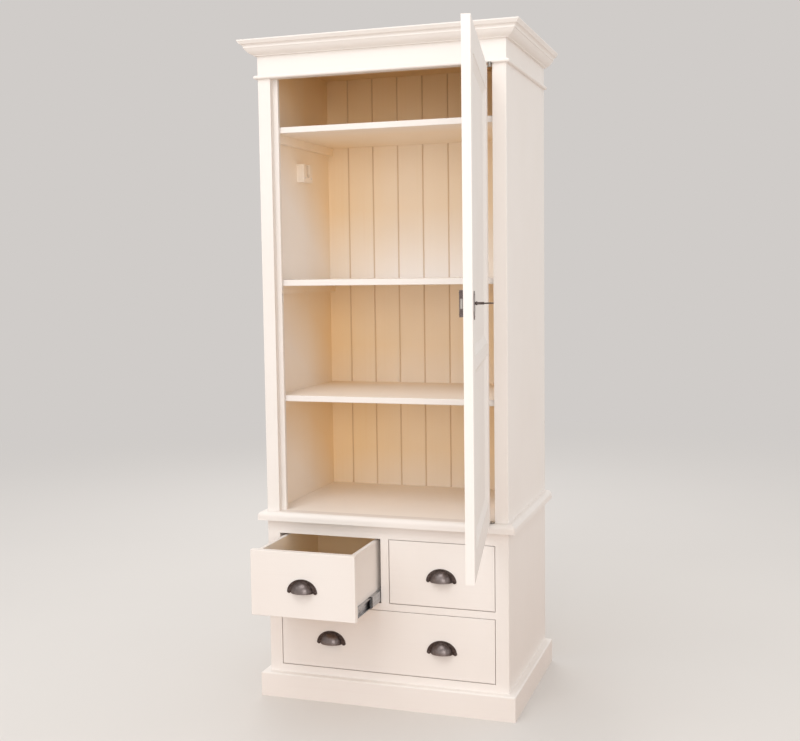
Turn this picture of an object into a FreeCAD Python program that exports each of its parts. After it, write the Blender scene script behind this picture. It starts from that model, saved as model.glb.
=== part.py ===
import FreeCAD, Part
import math
import os
import types

import Sketcher
from FreeCAD import Placement, Rotation, Vector

# A painted wardrobe: a base with three drawers, and a cupboard with one panelled door above it.
# Millimetres. The origin is on the floor, under the centre of the carcass: X runs across the front,
# the front faces -Y, the wall stands behind at +Y, and Z is up.
# It is drawn as it stands in the room: the door open, and the left small drawer pulled out.

SIZES = {
    # The carcass, without its mouldings
    "carcass_width": 760,
    "carcass_depth": 540,
    # Heights up the front, from the floor to the top
    "plinth_height": 75,
    "bottom_rail_show": 24,
    "large_opening": 196,
    "mid_rail_height": 21,
    "small_opening": 197,
    "top_rail_height": 41,
    "waist_thickness": 27,
    "door_opening": 1307,
    "frieze_height": 68,
    "cornice_height": 44,
    # Boards of the carcass
    "side_thickness": 20,
    "frame_thickness": 22,
    "stile_width": 40,
    "bottom_rail_hidden": 36,
    "bottom_thickness": 16,
    "bearer_thickness": 22,
    "partition_thickness": 25,
    "top_thickness": 18,
    "back_thickness": 12,
    "back_recess": 20,
    "eased_edge": 1.5,
    # Matched boards at the back of the cupboard
    "back_board_width": 88,
    "first_back_joint": 74,
    "tongue_length": 6,
    "tongue_thickness": 4,
    "tongue_play": 0.3,
    "back_vee": 2.5,
    # Mouldings
    "plinth_projection": 23,
    "plinth_round": 5,
    "waist_projection": 23,
    "waist_round": 15,
    "astragal_projection": 10,
    "astragal_height": 11,
    "astragal_flat": 0.6,
    "cornice_foot": 8,
    "cornice_foot_rise": 2,
    "cornice_ovolo_out": 22,
    "cornice_ovolo_rise": 19,
    "cornice_ovolo_radius": 38,
    "cornice_step": 1.5,
    "cornice_bead_rise": 3,
    "cornice_cove_out": 8.5,
    "cornice_cove_rise": 8,
    "cornice_cove_radius": 11,
    "cornice_lip": 6,
    "cornice_edge": 3,
    # Inside the cupboard
    "shelf_thickness": 18,
    "shelf_setback": 36,
    "lower_shelf_up": 354,
    "middle_shelf_up": 708,
    "upper_shelf_up": 1167.5,
    "cleat_width": 18,
    "cleat_height": 25,
    "cleat_setback": 4,
    "stop_width": 34,
    "stop_thickness": 12,
    "socket_drop": 49.5,
    "socket_height": 56,
    "socket_depth": 70,
    "socket_thickness": 25,
    "hanging_rail": 25,
    "hanging_rail_play": 1,
    # The door
    "door_open_angle": 100.8,
    "door_gap": 2,
    "door_head_gap": 8,
    "door_thickness": 22,
    "door_stile": 92,
    "door_top_rail": 92,
    "door_mid_rail": 72,
    "door_bottom_rail": 88,
    "lower_panel_sight": 387,
    "door_moulding": 20,
    "door_moulding_step": 1.2,
    "panel_sunk": 9,
    "panel_thickness": 8,
    "panel_tongue": 8,
    "panel_play": 0.5,
    # Pivot hinges, one at the top corner and one at the bottom
    "pivot_inset": 5.5,
    "pivot_forward": 7,
    "pivot_pin": 6,
    "pivot_play": 0.05,
    "pivot_eye": 12,
    "pivot_collar": 9,
    "collar_play": 0.1,
    "leaf_thickness": 3,
    "leaf_length": 24,
    "leaf_depth": 17,
    # The rim lock, its key and its keyhole plate
    "lock_up": 652,
    "lock_edge_inset": 13,
    "lock_width": 42,
    "lock_height": 62,
    "lock_thickness": 10,
    "lock_boss": 9,
    "lock_boss_rise": 1.5,
    "bolt_height": 22,
    "bolt_thickness": 5,
    "bolt_length": 16,
    "bolt_throw": 10,
    "bolt_play": 0.3,
    "mortise_play": 0.5,
    "mortise_spare": 4,
    "key_inset": 38,
    "key_shank": 6,
    "key_play": 0.05,
    "key_reach": 46,
    "key_collar": 9,
    "key_collar_length": 3,
    "key_bit": 7,
    "key_bit_width": 2.4,
    "key_bow_width": 32,
    "key_bow_length": 24,
    "key_bow_thickness": 3,
    "key_bow_wall": 6,
    "key_bow_lap": 2,
    "keyhole_spare": 3,
    "keyhole_plate_width": 40,
    "keyhole_plate_rise": 28.5,
    "keyhole_plate_drop": 38,
    "keyhole_plate_shoulder": 17.5,
    "keyhole_plate_brow": 4,
    "keyhole_plate_crown_radius": 24,
    "keyhole_plate_side_radius": 48,
    "keyhole_plate_thickness": 2,
    # The drawers
    "drawer_out": 217,
    "drawer_gap": 2,
    "drawer_front_thickness": 20,
    "drawer_wall": 12,
    "drawer_rear_gap": 38,
    "drawer_box_up": 5,
    "drawer_box_head": 7,
    "drawer_floor": 6,
    "drawer_floor_up": 9,
    "drawer_floor_groove": 6,
    # Telescopic runners
    "runner_height": 35,
    "runner_thickness": 12.7,
    "runner_up": 18,
    "runner_sheet": 1.2,
    "runner_play": 0.4,
    "packer_height": 45,
    # Cup pulls
    "pull_up": 77,
    "pull_width": 93,
    "pull_height": 39,
    "pull_reach": 24,
    "pull_brow": 4,
    "pull_cheek": 13,
    "pull_rim_thickness": 2.4,
    "pull_wall": 2.2,
    "pull_ear": 12,
    "pull_ear_rise": 3,
}

doc = FreeCAD.newDocument("Wardrobe")
sheet = doc.addObject("Spreadsheet::Sheet", "Sizes")
for row, (alias, amount) in enumerate(SIZES.items(), start=1):
    sheet.set(f"A{row}", alias)
    sheet.set(f"B{row}", str(amount))
    sheet.setAlias(f"B{row}", alias)
doc.recompute()


class Size:
    """A size from the sheet, or one worked out from others: its expression and its present number."""

    def __init__(self, text, number):
        self.text = text
        self.number = number

    def __add__(self, other):
        other = as_size(other)
        return Size(f"({self.text} + {other.text})", self.number + other.number)

    def __radd__(self, other):
        return as_size(other) + self

    def __sub__(self, other):
        other = as_size(other)
        return Size(f"({self.text} - {other.text})", self.number - other.number)

    def __rsub__(self, other):
        return as_size(other) - self

    def __mul__(self, other):
        other = as_size(other)
        return Size(f"({self.text} * {other.text})", self.number * other.number)

    def __rmul__(self, other):
        return as_size(other) * self

    def __truediv__(self, other):
        other = as_size(other)
        return Size(f"({self.text} / {other.text})", self.number / other.number)

    def __neg__(self):
        return Size(f"(0 - {self.text})", -self.number)


def as_size(value):
    """Take a plain number as a size of its own."""
    if isinstance(value, Size):
        return value
    return Size(str(value), value)


def bind(thing, prop, value):
    """Tie a property of an object to the sheet."""
    thing.setExpression(prop, as_size(value).text)


s = types.SimpleNamespace(**{alias: Size(f"Sizes.{alias}", amount) for alias, amount in SIZES.items()})
nodes = []


def node(piece, name):
    """Name a finished sub-part, which also names its file."""
    piece.Label = name
    nodes.append(piece)
    return piece


def box(name, x, y, z):
    """A board between a low and a high place along each of X, Y and Z."""
    piece = doc.addObject("Part::Box", name)
    for prop, place, (low, high) in (("Length", "x", x), ("Width", "y", y), ("Height", "z", z)):
        bind(piece, prop, high - low)
        bind(piece, f"Placement.Base.{place}", low)
    return piece


def rod(name, centre, length, diameter, along="z"):
    """A round bar from a centre point, along +Z, +Y or +X."""
    piece = doc.addObject("Part::Cylinder", name)
    turns = {"z": Rotation(), "y": Rotation(Vector(1, 0, 0), -90), "x": Rotation(Vector(0, 1, 0), 90)}
    piece.Placement = Placement(Vector(0, 0, 0), turns[along])
    for place, value in zip("xyz", centre):
        bind(piece, f"Placement.Base.{place}", value)
    bind(piece, "Radius", diameter / 2)
    bind(piece, "Height", length)
    return piece


def join(name, *pieces):
    """Pieces made one solid."""
    whole = doc.addObject("Part::MultiFuse", name)
    whole.Shapes = list(pieces)
    return whole


def group(name, *pieces):
    """Separate solids kept in one sub-part."""
    whole = doc.addObject("Part::Compound", name)
    whole.Links = list(pieces)
    return whole


def cut(name, base, *tools):
    """A piece with one or more others taken out of it."""
    result = doc.addObject("Part::Cut", name)
    result.Base = base
    result.Tool = tools[0] if len(tools) == 1 else group(f"{name}_cutters", *tools)
    return result


def overlap(name, first, second):
    """What two pieces share."""
    result = doc.addObject("Part::Common", name)
    result.Base = first
    result.Tool = second
    return result


def mirrored(name, piece):
    """The same piece on the other side of the middle plane."""
    other = doc.addObject("Part::Mirroring", name)
    other.Source = piece
    other.Normal = Vector(1, 0, 0)
    return other


def both_sides(name, piece):
    """A piece at the right and its twin at the left, in one sub-part."""
    return node(group(name, mirrored(f"{name}_twin", piece), piece), name)


def plane_of(body, role):
    """One of a body's own origin planes."""
    return [feature for feature in body.Origin.OriginFeatures if feature.Role == role][0]


def draw(sketch, corners):
    """Draw a closed outline, walking round it anticlockwise.

    A corner is its two coordinates. Where a radius and "out" or "in" follow, the side after that
    corner is an arc that bows out of the outline or into it.
    """
    ends = []
    for corner, following in zip(corners, corners[1:] + corners[:1]):
        start = Vector(as_size(corner[0]).number, as_size(corner[1]).number, 0)
        end = Vector(as_size(following[0]).number, as_size(following[1]).number, 0)
        if len(corner) == 2:
            sketch.addGeometry(Part.LineSegment(start, end))
            ends.append((1, 2))
            continue
        radius = as_size(corner[2]).number
        chord = end - start
        inward = Vector(-chord.y, chord.x, 0).normalize()
        reach = math.sqrt(radius**2 - (chord.Length / 2) ** 2)
        bow = 1 if corner[3] == "out" else -1
        centre = (start + end) / 2 + inward * reach * bow
        first, last = (start, end) if bow == 1 else (end, start)
        angles = [math.atan2(point.y - centre.y, point.x - centre.x) for point in (first, last)]
        circle = Part.Circle(centre, Vector(0, 0, 1), radius)
        sketch.addGeometry(Part.ArcOfCircle(circle, angles[0], angles[1]))
        ends.append((1, 2) if bow == 1 else (2, 1))
    for index, corner in enumerate(corners):
        before = index - 1 if index else len(corners) - 1
        sketch.addConstraint(Sketcher.Constraint("Coincident", before, ends[before][1], index, ends[index][0]))
        for kind, value in (("DistanceX", corner[0]), ("DistanceY", corner[1])):
            number = as_size(value).number
            made = sketch.addConstraint(Sketcher.Constraint(kind, -1, 1, index, ends[index][0], number))
            sketch.setExpression(f"Constraints[{made}]", as_size(value).text)
        if len(corner) > 2:
            radius = as_size(corner[2])
            made = sketch.addConstraint(Sketcher.Constraint("Radius", index, radius.number))
            sketch.setExpression(f"Constraints[{made}]", radius.text)


def outlined(name, role, corners, length, lift=None, middle=False):
    """A body with an outline on one of its planes, made solid for a length, and lifted in Z."""
    body = doc.addObject("PartDesign::Body", name)
    sketch = body.newObject("Sketcher::SketchObject", f"{name}_outline")
    sketch.AttachmentSupport = [(plane_of(body, role), "")]
    sketch.MapMode = "FlatFace"
    doc.recompute()
    draw(sketch, corners)
    pad = body.newObject("PartDesign::Pad", f"{name}_pad")
    pad.Profile = sketch
    pad.Midplane = middle
    bind(pad, "Length", length)
    if lift is not None:
        bind(body, "Placement.Base.z", lift)
    doc.recompute()
    return body


def ease(body, radius, chosen):
    """Round the edges of a body that a test picks. The test is given both ends of each edge."""
    feature = body.Tip
    names = []
    for index, edge in enumerate(feature.Shape.Edges, start=1):
        points = [vertex.Point for vertex in edge.Vertexes]
        if len(points) == 2 and chosen(*points):
            names.append(f"Edge{index}")
    fillet = body.newObject("PartDesign::Fillet", f"{body.Name}_eased")
    fillet.Base = (feature, names)
    bind(fillet, "Radius", radius)
    doc.recompute()
    return body


def near(value, size):
    """Whether a coordinate lies at a size."""
    return abs(value - as_size(size).number) < 0.001


def eased_board(name, x, y, z, radius, edges):
    """A board with some of its edges rounded: front_left, front_right, front_top and so on."""
    numbers = {
        "left_front": 1, "left_top": 2, "left_bottom": 4,
        "right_front": 5, "right_top": 6, "right_bottom": 8,
        "front_bottom": 9, "front_top": 10,
    }
    body = doc.addObject("PartDesign::Body", name)
    block = body.newObject("PartDesign::AdditiveBox", f"{name}_block")
    for prop, place, (low, high) in (("Length", "x", x), ("Width", "y", y), ("Height", "z", z)):
        bind(block, prop, high - low)
        bind(block, f"Placement.Base.{place}", low)
    doc.recompute()
    fillet = body.newObject("PartDesign::Fillet", f"{name}_eased")
    fillet.Base = (block, [f"Edge{numbers[edge]}" for edge in edges])
    bind(fillet, "Radius", radius)
    doc.recompute()
    return body


# Places that several pieces share

half = s.carcass_width / 2
inside = half - s.side_thickness
opening = half - s.stile_width
front = -s.carcass_depth / 2
rear = s.carcass_depth / 2
frame_back = front + s.frame_thickness
back_rear = rear - s.back_recess
back_face = back_rear - s.back_thickness

large_low = s.plinth_height + s.bottom_rail_show
large_high = large_low + s.large_opening
small_low = large_high + s.mid_rail_height
small_high = small_low + s.small_opening
waist_low = small_high + s.top_rail_height
waist_high = waist_low + s.waist_thickness
frieze_low = waist_high + s.door_opening
cornice_low = frieze_low + s.frieze_height
total_height = cornice_low + s.cornice_height

frame_y = (front, frame_back)
zero = as_size(0)

# Base: plinth, sides, face frame, floor, partition and back

plinth_out = half + s.plinth_projection
plinth_front_y = front - s.plinth_projection
plinth_front = outlined(
    "plinth_front_solid",
    "XY_Plane",
    [
        (-plinth_out, plinth_front_y),
        (plinth_out, plinth_front_y),
        (half, front),
        (-half, front),
    ],
    s.plinth_height,
)
ease(
    plinth_front,
    s.plinth_round,
    lambda a, b: near(a.y, plinth_front_y) and near(b.y, plinth_front_y)
    and near(a.z, s.plinth_height) and near(b.z, s.plinth_height),
)
node(plinth_front, "plinth_front")

plinth_return = outlined(
    "plinth_return_solid",
    "XY_Plane",
    [(half, front), (plinth_out, plinth_front_y), (plinth_out, rear), (half, rear)],
    s.plinth_height,
)
ease(
    plinth_return,
    s.plinth_round,
    lambda a, b: near(a.x, plinth_out) and near(b.x, plinth_out)
    and near(a.z, s.plinth_height) and near(b.z, s.plinth_height),
)
both_sides("plinth_returns", plinth_return)

base_side = box("base_side", (inside, half), (frame_back, rear), (zero, waist_low))
both_sides("base_sides", base_side)

base_stile = eased_board(
    "base_stile", (opening, half), frame_y, (zero, waist_low), s.eased_edge, ["right_front"]
)
both_sides("base_stiles", base_stile)

bottom_rail_low = large_low - s.bottom_rail_show - s.bottom_rail_hidden
for name, z in (
    ("base_bottom_rail", (bottom_rail_low, large_low)),
    ("base_mid_rail", (large_high, small_low)),
    ("base_top_rail", (small_high, waist_low)),
):
    node(box(name, (-opening, opening), frame_y, z), name)

node(
    box(
        "base_bottom_panel",
        (-inside, inside),
        (frame_back, back_face),
        (large_low - s.bottom_thickness, large_low),
    ),
    "base_bottom_panel",
)

# The partition shows between the small drawers, and passes behind the top rail up to the waist board.
half_partition = s.partition_thickness / 2
partition_x = (-half_partition, half_partition)
node(
    join(
        "base_partition",
        box("muntin", partition_x, (front, back_face), (small_low, small_high)),
        box("partition_head", partition_x, (frame_back, back_face), (small_high, waist_low)),
    ),
    "base_partition",
)

# A bearer under the middle of the floor stands on the ground and keeps the floor from sagging.
half_bearer = s.bearer_thickness / 2
node(
    box(
        "base_bearer",
        (-half_bearer, half_bearer),
        (frame_back, back_face),
        (zero, large_low - s.bottom_thickness),
    ),
    "base_bearer",
)

node(
    box("base_back_panel", (-inside, inside), (back_face, back_rear), (zero, waist_low)),
    "base_back_panel",
)

# Waist board, with the pockets for the lower pivot plate cut into it further down

waist_out = half + s.waist_projection
waist_solid = eased_board(
    "waist_solid",
    (-waist_out, waist_out),
    (front - s.waist_projection, rear),
    (waist_low, waist_high),
    s.waist_round,
    ["front_top", "left_top", "right_top"],
)

# Cupboard: sides, stiles, frieze, top and matched boards

for name, side in (("left", -1), ("right", 1)):
    side_x = (inside, half) if side == 1 else (-half, -inside)
    node(
        box(f"side_{name}", side_x, (frame_back, rear), (waist_high, cornice_low)),
        f"side_{name}",
    )

stile = eased_board(
    "stile", (opening, half), frame_y, (waist_high, frieze_low), s.eased_edge, ["right_front"]
)
both_sides("stiles", stile)

frieze_solid = box("frieze_solid", (-half, half), frame_y, (frieze_low, cornice_low))

node(
    box("top_panel", (-half, half), (front, rear), (cornice_low, cornice_low + s.top_thickness)),
    "top_panel",
)

# Matched boards stand side by side: each has a groove at its left, a tongue at its right, and a
# small bevel on both front corners, so that a V shows at each joint. The outermost ones are cut to fit.
tongue_middle = (back_face + back_rear) / 2
tongue_low = tongue_middle - s.tongue_thickness / 2
tongue_high = tongue_middle + s.tongue_thickness / 2
board_height = cornice_low - waist_high
board_count = 2 + int((2 * inside.number - s.first_back_joint.number) // s.back_board_width.number)
boards = []
for index in range(board_count):
    first = index == 0
    last = index == board_count - 1
    left = -inside if first else -inside + s.first_back_joint + s.back_board_width * (index - 1)
    right = inside if last else -inside + s.first_back_joint + s.back_board_width * index
    corners = []
    if first:
        corners += [(left, back_face)]
    else:
        corners += [(left, back_face + s.back_vee), (left + s.back_vee, back_face)]
    if last:
        corners += [(right, back_face), (right, back_rear)]
    else:
        corners += [
            (right - s.back_vee, back_face),
            (right, back_face + s.back_vee),
            (right, tongue_low),
            (right + s.tongue_length, tongue_low),
            (right + s.tongue_length, tongue_high),
            (right, tongue_high),
            (right, back_rear),
        ]
    corners += [(left, back_rear)]
    if not first:
        groove_end = left + s.tongue_length + s.tongue_play
        corners += [
            (left, tongue_high + s.tongue_play),
            (groove_end, tongue_high + s.tongue_play),
            (groove_end, tongue_low - s.tongue_play),
            (left, tongue_low - s.tongue_play),
        ]
    boards.append(outlined(f"back_board_{index + 1}", "XY_Plane", corners, board_height, waist_high))
node(group("back_boards", *boards), "back_boards")

# Astragal: a half-round bead along the foot of the frieze and round both sides

astragal_out = half + s.astragal_projection
astragal_y = front - s.astragal_projection
astragal_round = (s.astragal_height - s.astragal_flat) / 2
astragal_front = outlined(
    "astragal_front",
    "XY_Plane",
    [(-astragal_out, astragal_y), (astragal_out, astragal_y), (half, front), (-half, front)],
    s.astragal_height,
    frieze_low,
)
ease(
    astragal_front,
    astragal_round,
    lambda a, b: near(a.y, astragal_y) and near(b.y, astragal_y) and near(a.z, b.z),
)
astragal_return = outlined(
    "astragal_return",
    "XY_Plane",
    [(half, front), (astragal_out, astragal_y), (astragal_out, rear), (half, rear)],
    s.astragal_height,
    frieze_low,
)
ease(
    astragal_return,
    astragal_round,
    lambda a, b: near(a.x, astragal_out) and near(b.x, astragal_out) and near(a.z, b.z),
)

# Cornice: a foot, an ovolo, a small bead and a cove under the top lip, mitred at both corners


cornice_ovolo = s.cornice_foot + s.cornice_ovolo_out
cornice_bead = cornice_ovolo + s.cornice_step
cornice_cove = cornice_bead + s.cornice_cove_out
cornice_lip = cornice_cove + s.cornice_lip


def cornice_profile(wall, outward):
    """The cornice's outline from the face that it is fixed to, outwards along one direction."""
    ovolo_top = cornice_low + s.cornice_foot_rise + s.cornice_ovolo_rise
    bead_top = ovolo_top + s.cornice_bead_rise
    cove_top = bead_top + s.cornice_cove_rise
    foot = s.cornice_foot
    walk = [
        (wall, cornice_low),
        (wall + foot * outward, cornice_low),
        (wall + foot * outward, cornice_low + s.cornice_foot_rise, s.cornice_ovolo_radius, "out"),
        (wall + cornice_ovolo * outward, ovolo_top),
        (wall + cornice_bead * outward, ovolo_top),
        (wall + cornice_bead * outward, bead_top, s.cornice_cove_radius, "in"),
        (wall + cornice_cove * outward, cove_top),
        (wall + cornice_lip * outward, total_height - s.cornice_edge),
        (wall + cornice_lip * outward, total_height),
        (wall, total_height),
    ]
    if outward == 1:
        return walk
    # The walk is turned round, and each arc goes to the corner where it now begins.
    turned = []
    for index in range(len(walk) - 1, -1, -1):
        arc = walk[index - 1][2:] if index else ()
        turned.append(walk[index][:2] + arc)
    return turned


cornice_out = half + cornice_lip
cornice_y = front - cornice_lip
cornice_front_run = outlined(
    "cornice_front_run", "YZ_Plane", cornice_profile(front, -1), cornice_out * 2, middle=True
)
cornice_front_plan = outlined(
    "cornice_front_plan",
    "XY_Plane",
    [(-cornice_out, cornice_y), (cornice_out, cornice_y), (half, front), (-half, front)],
    s.cornice_height,
    cornice_low,
)
node(overlap("cornice_front", cornice_front_run, cornice_front_plan), "cornice_front")
cornice_side_run = outlined(
    "cornice_side_run", "XZ_Plane", cornice_profile(half, 1), s.carcass_depth + cornice_lip
)
bind(cornice_side_run, "Placement.Base.y", rear)
cornice_side_plan = outlined(
    "cornice_side_plan",
    "XY_Plane",
    [(half, front), (cornice_out, cornice_y), (cornice_out, rear), (half, rear)],
    s.cornice_height,
    cornice_low,
)
both_sides("cornice_returns", overlap("cornice_return", cornice_side_run, cornice_side_plan))

# Shelves on cleats

shelf_y = (front + s.shelf_setback, back_face)
cleat_y = (front + s.shelf_setback + s.cleat_setback, back_face)
cleats = []
for name, up in (
    ("lower", s.lower_shelf_up),
    ("middle", s.middle_shelf_up),
    ("upper", s.upper_shelf_up),
):
    shelf_top = waist_high + up
    shelf_low = shelf_top - s.shelf_thickness
    node(
        eased_board(
            f"shelf_{name}",
            (-inside, inside),
            shelf_y,
            (shelf_low, shelf_top),
            s.eased_edge,
            ["front_top", "front_bottom"],
        ),
        f"shelf_{name}",
    )
    for side in (-1, 1):
        cleat_x = (inside - s.cleat_width, inside) if side == 1 else (-inside, s.cleat_width - inside)
        word = "right" if side == 1 else "left"
        cleats.append(box(f"cleat_{name}_{word}", cleat_x, cleat_y, (shelf_low - s.cleat_height, shelf_low)))
node(group("shelf_cleats", *cleats), "shelf_cleats")

# Open sockets on both walls, half way back and below the upper shelf, for a hanging rail

cleat_low = waist_high + s.upper_shelf_up - s.shelf_thickness - s.cleat_height
socket_low = cleat_low - s.socket_drop - s.socket_height
socket_y = zero
notch = s.hanging_rail + s.hanging_rail_play
socket_middle = socket_low + s.socket_height / 2
socket_x = inside - s.socket_thickness
rail_socket = cut(
    "rail_socket",
    box(
        "socket_block",
        (socket_x, inside),
        (socket_y - s.socket_depth / 2, socket_y + s.socket_depth / 2),
        (socket_low, socket_low + s.socket_height),
    ),
    box(
        "socket_slot",
        (socket_x, inside),
        (socket_y - notch / 2, socket_y + notch / 2),
        (socket_middle, socket_low + s.socket_height),
    ),
    rod("socket_seat", (socket_x, socket_y, socket_middle), s.socket_thickness, notch, "x"),
)
both_sides("rail_sockets", rail_socket)

# The door, drawn shut and then turned about its pivots

door_half = opening - s.door_gap
door_low = waist_high + s.door_gap
door_high = frieze_low - s.door_head_gap
door_y = (front, front + s.door_thickness)
pivot_x = opening - s.pivot_inset
pivot_y = front - s.pivot_forward
DOOR_TURN = (
    "placement(vector(0; 0; 0); rotation(vector(0; 0; 1); Sizes.door_open_angle); "
    f"vector({pivot_x.text}; {pivot_y.text}; 0))"
)


def on_door(piece, name):
    """Turn a piece of the door, drawn shut, to the angle at which the door stands open."""
    piece.setExpression("Placement", DOOR_TURN)
    return node(piece, name)


sight_x = door_half - s.door_stile
mid_rail_low = door_low + s.door_bottom_rail + s.lower_panel_sight
mid_rail_high = mid_rail_low + s.door_mid_rail
panels = {
    "lower": (door_low + s.door_bottom_rail, mid_rail_low),
    "upper": (mid_rail_high, door_high - s.door_top_rail),
}
panel_y = (front + s.panel_sunk, front + s.panel_sunk + s.panel_thickness)


def panel_opening(name, low, high):
    """What one panel takes out of the door's frame: a sunk and bevelled border, and a groove."""
    wide = sight_x + s.door_moulding
    step = s.door_moulding_step
    rim = box(
        f"{name}_rim",
        (-wide, wide),
        (front, front + step),
        (low - s.door_moulding, high + s.door_moulding),
    )
    bevel = doc.addObject("Part::Wedge", f"{name}_bevel")
    edge = wide - step
    for prop, value in (
        ("Xmin", -edge), ("Xmax", edge), ("X2min", -sight_x), ("X2max", sight_x),
        ("Zmin", low - s.door_moulding + step), ("Zmax", high + s.door_moulding - step),
        ("Z2min", low), ("Z2max", high),
        ("Ymin", front + step), ("Ymax", panel_y[0]),
    ):
        bind(bevel, prop, value)
    tongue = s.panel_tongue + s.panel_play
    groove = box(
        f"{name}_groove", (-sight_x - tongue, sight_x + tongue), panel_y, (low - tongue, high + tongue)
    )
    return [rim, bevel, groove]


openings = panel_opening("lower_opening", *panels["lower"]) + panel_opening("upper_opening", *panels["upper"])

# Pivot leaves: a pocket and a leaf at the top of the door, and the same at the bottom


def pivot_leaf(name, plate_x, plate_y, z, bored):
    """A flat leaf that reaches forward to the pivot and ends in an eye."""
    arm_half = s.pivot_collar / 2
    leaf = join(
        f"{name}_blank",
        box(f"{name}_plate", plate_x, plate_y, z),
        box(f"{name}_arm", (pivot_x - arm_half, pivot_x + arm_half), (pivot_y, plate_y[1]), z),
        rod(f"{name}_eye", (pivot_x, pivot_y, z[0]), z[1] - z[0], s.pivot_eye),
    )
    if not bored:
        return leaf
    bore = rod(
        f"{name}_bore", (pivot_x, pivot_y, z[0]), z[1] - z[0], s.pivot_pin + s.pivot_play * 2
    )
    return cut(f"{name}_leaf", leaf, bore)


leaf_y = (front, front + s.leaf_depth)
fixed_x = (opening - s.leaf_length / 2, opening + s.leaf_length / 2)
door_leaf_x = (pivot_x - s.leaf_length, pivot_x)
top_fixed_z = (frieze_low, frieze_low + s.leaf_thickness)
low_fixed_z = (waist_high - s.leaf_thickness, waist_high)
top_leaf_z = (door_high - s.leaf_thickness, door_high)
low_leaf_z = (door_low, door_low + s.leaf_thickness)

fixed_top = pivot_leaf("fixed_top", fixed_x, leaf_y, top_fixed_z, True)
fixed_low = pivot_leaf("fixed_low", fixed_x, leaf_y, low_fixed_z, True)
node(group("pivot_plates", fixed_low, fixed_top), "pivot_plates")


def plate_room(name, plate_x, z):
    """The pocket that a leaf is let into."""
    arm_half = s.pivot_eye / 2
    return [
        box(f"{name}_plate_room", plate_x, leaf_y, z),
        box(f"{name}_arm_room", (pivot_x - arm_half, pivot_x + arm_half), (pivot_y, front), z),
        rod(f"{name}_eye_room", (pivot_x, pivot_y, z[0]), z[1] - z[0], s.pivot_eye),
    ]


waist_board = cut("waist_board", waist_solid, *plate_room("waist", fixed_x, low_fixed_z))
node(waist_board, "waist_board")
frieze_board = cut("frieze_board", frieze_solid, *plate_room("frieze", fixed_x, top_fixed_z))
node(frieze_board, "frieze_board")
astragal_cut = cut("astragal_cut", astragal_front, *plate_room("astragal", fixed_x, top_fixed_z))
node(
    group("astragal", mirrored("astragal_return_twin", astragal_return), astragal_cut, astragal_return),
    "astragal",
)

top_reach = s.door_head_gap - s.collar_play
low_reach = s.door_gap - s.collar_play
top_leaf = join(
    "top_leaf",
    pivot_leaf("door_top", door_leaf_x, leaf_y, top_leaf_z, False),
    rod("top_collar", (pivot_x, pivot_y, door_high), top_reach, s.pivot_collar),
    rod("top_pin", (pivot_x, pivot_y, door_high), s.door_head_gap + s.leaf_thickness, s.pivot_pin),
)
low_leaf = join(
    "low_leaf",
    pivot_leaf("door_low", door_leaf_x, leaf_y, low_leaf_z, False),
    rod("low_collar", (pivot_x, pivot_y, door_low - low_reach), low_reach, s.pivot_collar),
    rod(
        "low_pin",
        (pivot_x, pivot_y, waist_high - s.leaf_thickness),
        s.door_gap + s.leaf_thickness,
        s.pivot_pin,
    ),
)
on_door(group("door_pivot_leaves", low_leaf, top_leaf), "door_pivot_leaves")

# Door frame and panels

key_x = -door_half + s.key_inset
lock_z = door_low + s.lock_up
keyway = [
    rod("keyway_round", (key_x, front, lock_z), s.door_thickness, s.key_collar, "y"),
    box(
        "keyway_slot",
        (key_x - s.key_bit_width, key_x + s.key_bit_width),
        door_y,
        (lock_z - s.key_bit - s.keyhole_spare, lock_z),
    ),
]
hinge_stile_solid = eased_board(
    "hinge_stile_solid", (sight_x, door_half), door_y, (door_low, door_high), s.eased_edge,
    ["right_front", "front_top", "front_bottom"],
)
on_door(
    cut(
        "door_hinge_stile",
        hinge_stile_solid,
        *openings,
        box("stile_top_room", (pivot_x - s.leaf_length, pivot_x), leaf_y, top_leaf_z),
        box("stile_low_room", (pivot_x - s.leaf_length, pivot_x), leaf_y, low_leaf_z),
        box("arm_top_room", (pivot_x, pivot_x + s.pivot_collar / 2), leaf_y, top_leaf_z),
        box("arm_low_room", (pivot_x, pivot_x + s.pivot_collar / 2), leaf_y, low_leaf_z),
        rod("eye_top_room", (pivot_x, pivot_y, top_leaf_z[0]), s.leaf_thickness, s.pivot_eye),
        rod("eye_low_room", (pivot_x, pivot_y, low_leaf_z[0]), s.leaf_thickness, s.pivot_eye),
    ),
    "door_hinge_stile",
)
lock_stile_solid = eased_board(
    "lock_stile_solid", (-door_half, -sight_x), door_y, (door_low, door_high), s.eased_edge,
    ["left_front", "front_top", "front_bottom"],
)
on_door(cut("door_lock_stile", lock_stile_solid, *openings, *keyway), "door_lock_stile")
for name, z, eased in (
    ("top", (door_high - s.door_top_rail, door_high), ["front_top"]),
    ("mid", (mid_rail_low, mid_rail_high), None),
    ("bottom", (door_low, door_low + s.door_bottom_rail), ["front_bottom"]),
):
    rail_x = (-sight_x, sight_x)
    if eased:
        blank = eased_board(f"door_{name}_blank", rail_x, door_y, z, s.eased_edge, eased)
    else:
        blank = box(f"door_{name}_blank", rail_x, door_y, z)
    on_door(cut(f"door_{name}_rail", blank, *openings), f"door_{name}_rail")
for name, (low, high) in panels.items():
    panel = box(
        f"panel_{name}",
        (-sight_x - s.panel_tongue, sight_x + s.panel_tongue),
        panel_y,
        (low - s.panel_tongue, high + s.panel_tongue),
    )
    on_door(group(f"door_panel_{name}", panel), f"door_panel_{name}")

# Rim lock on the door's inner face, with a bolt that slides into the stop on the left side

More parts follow.
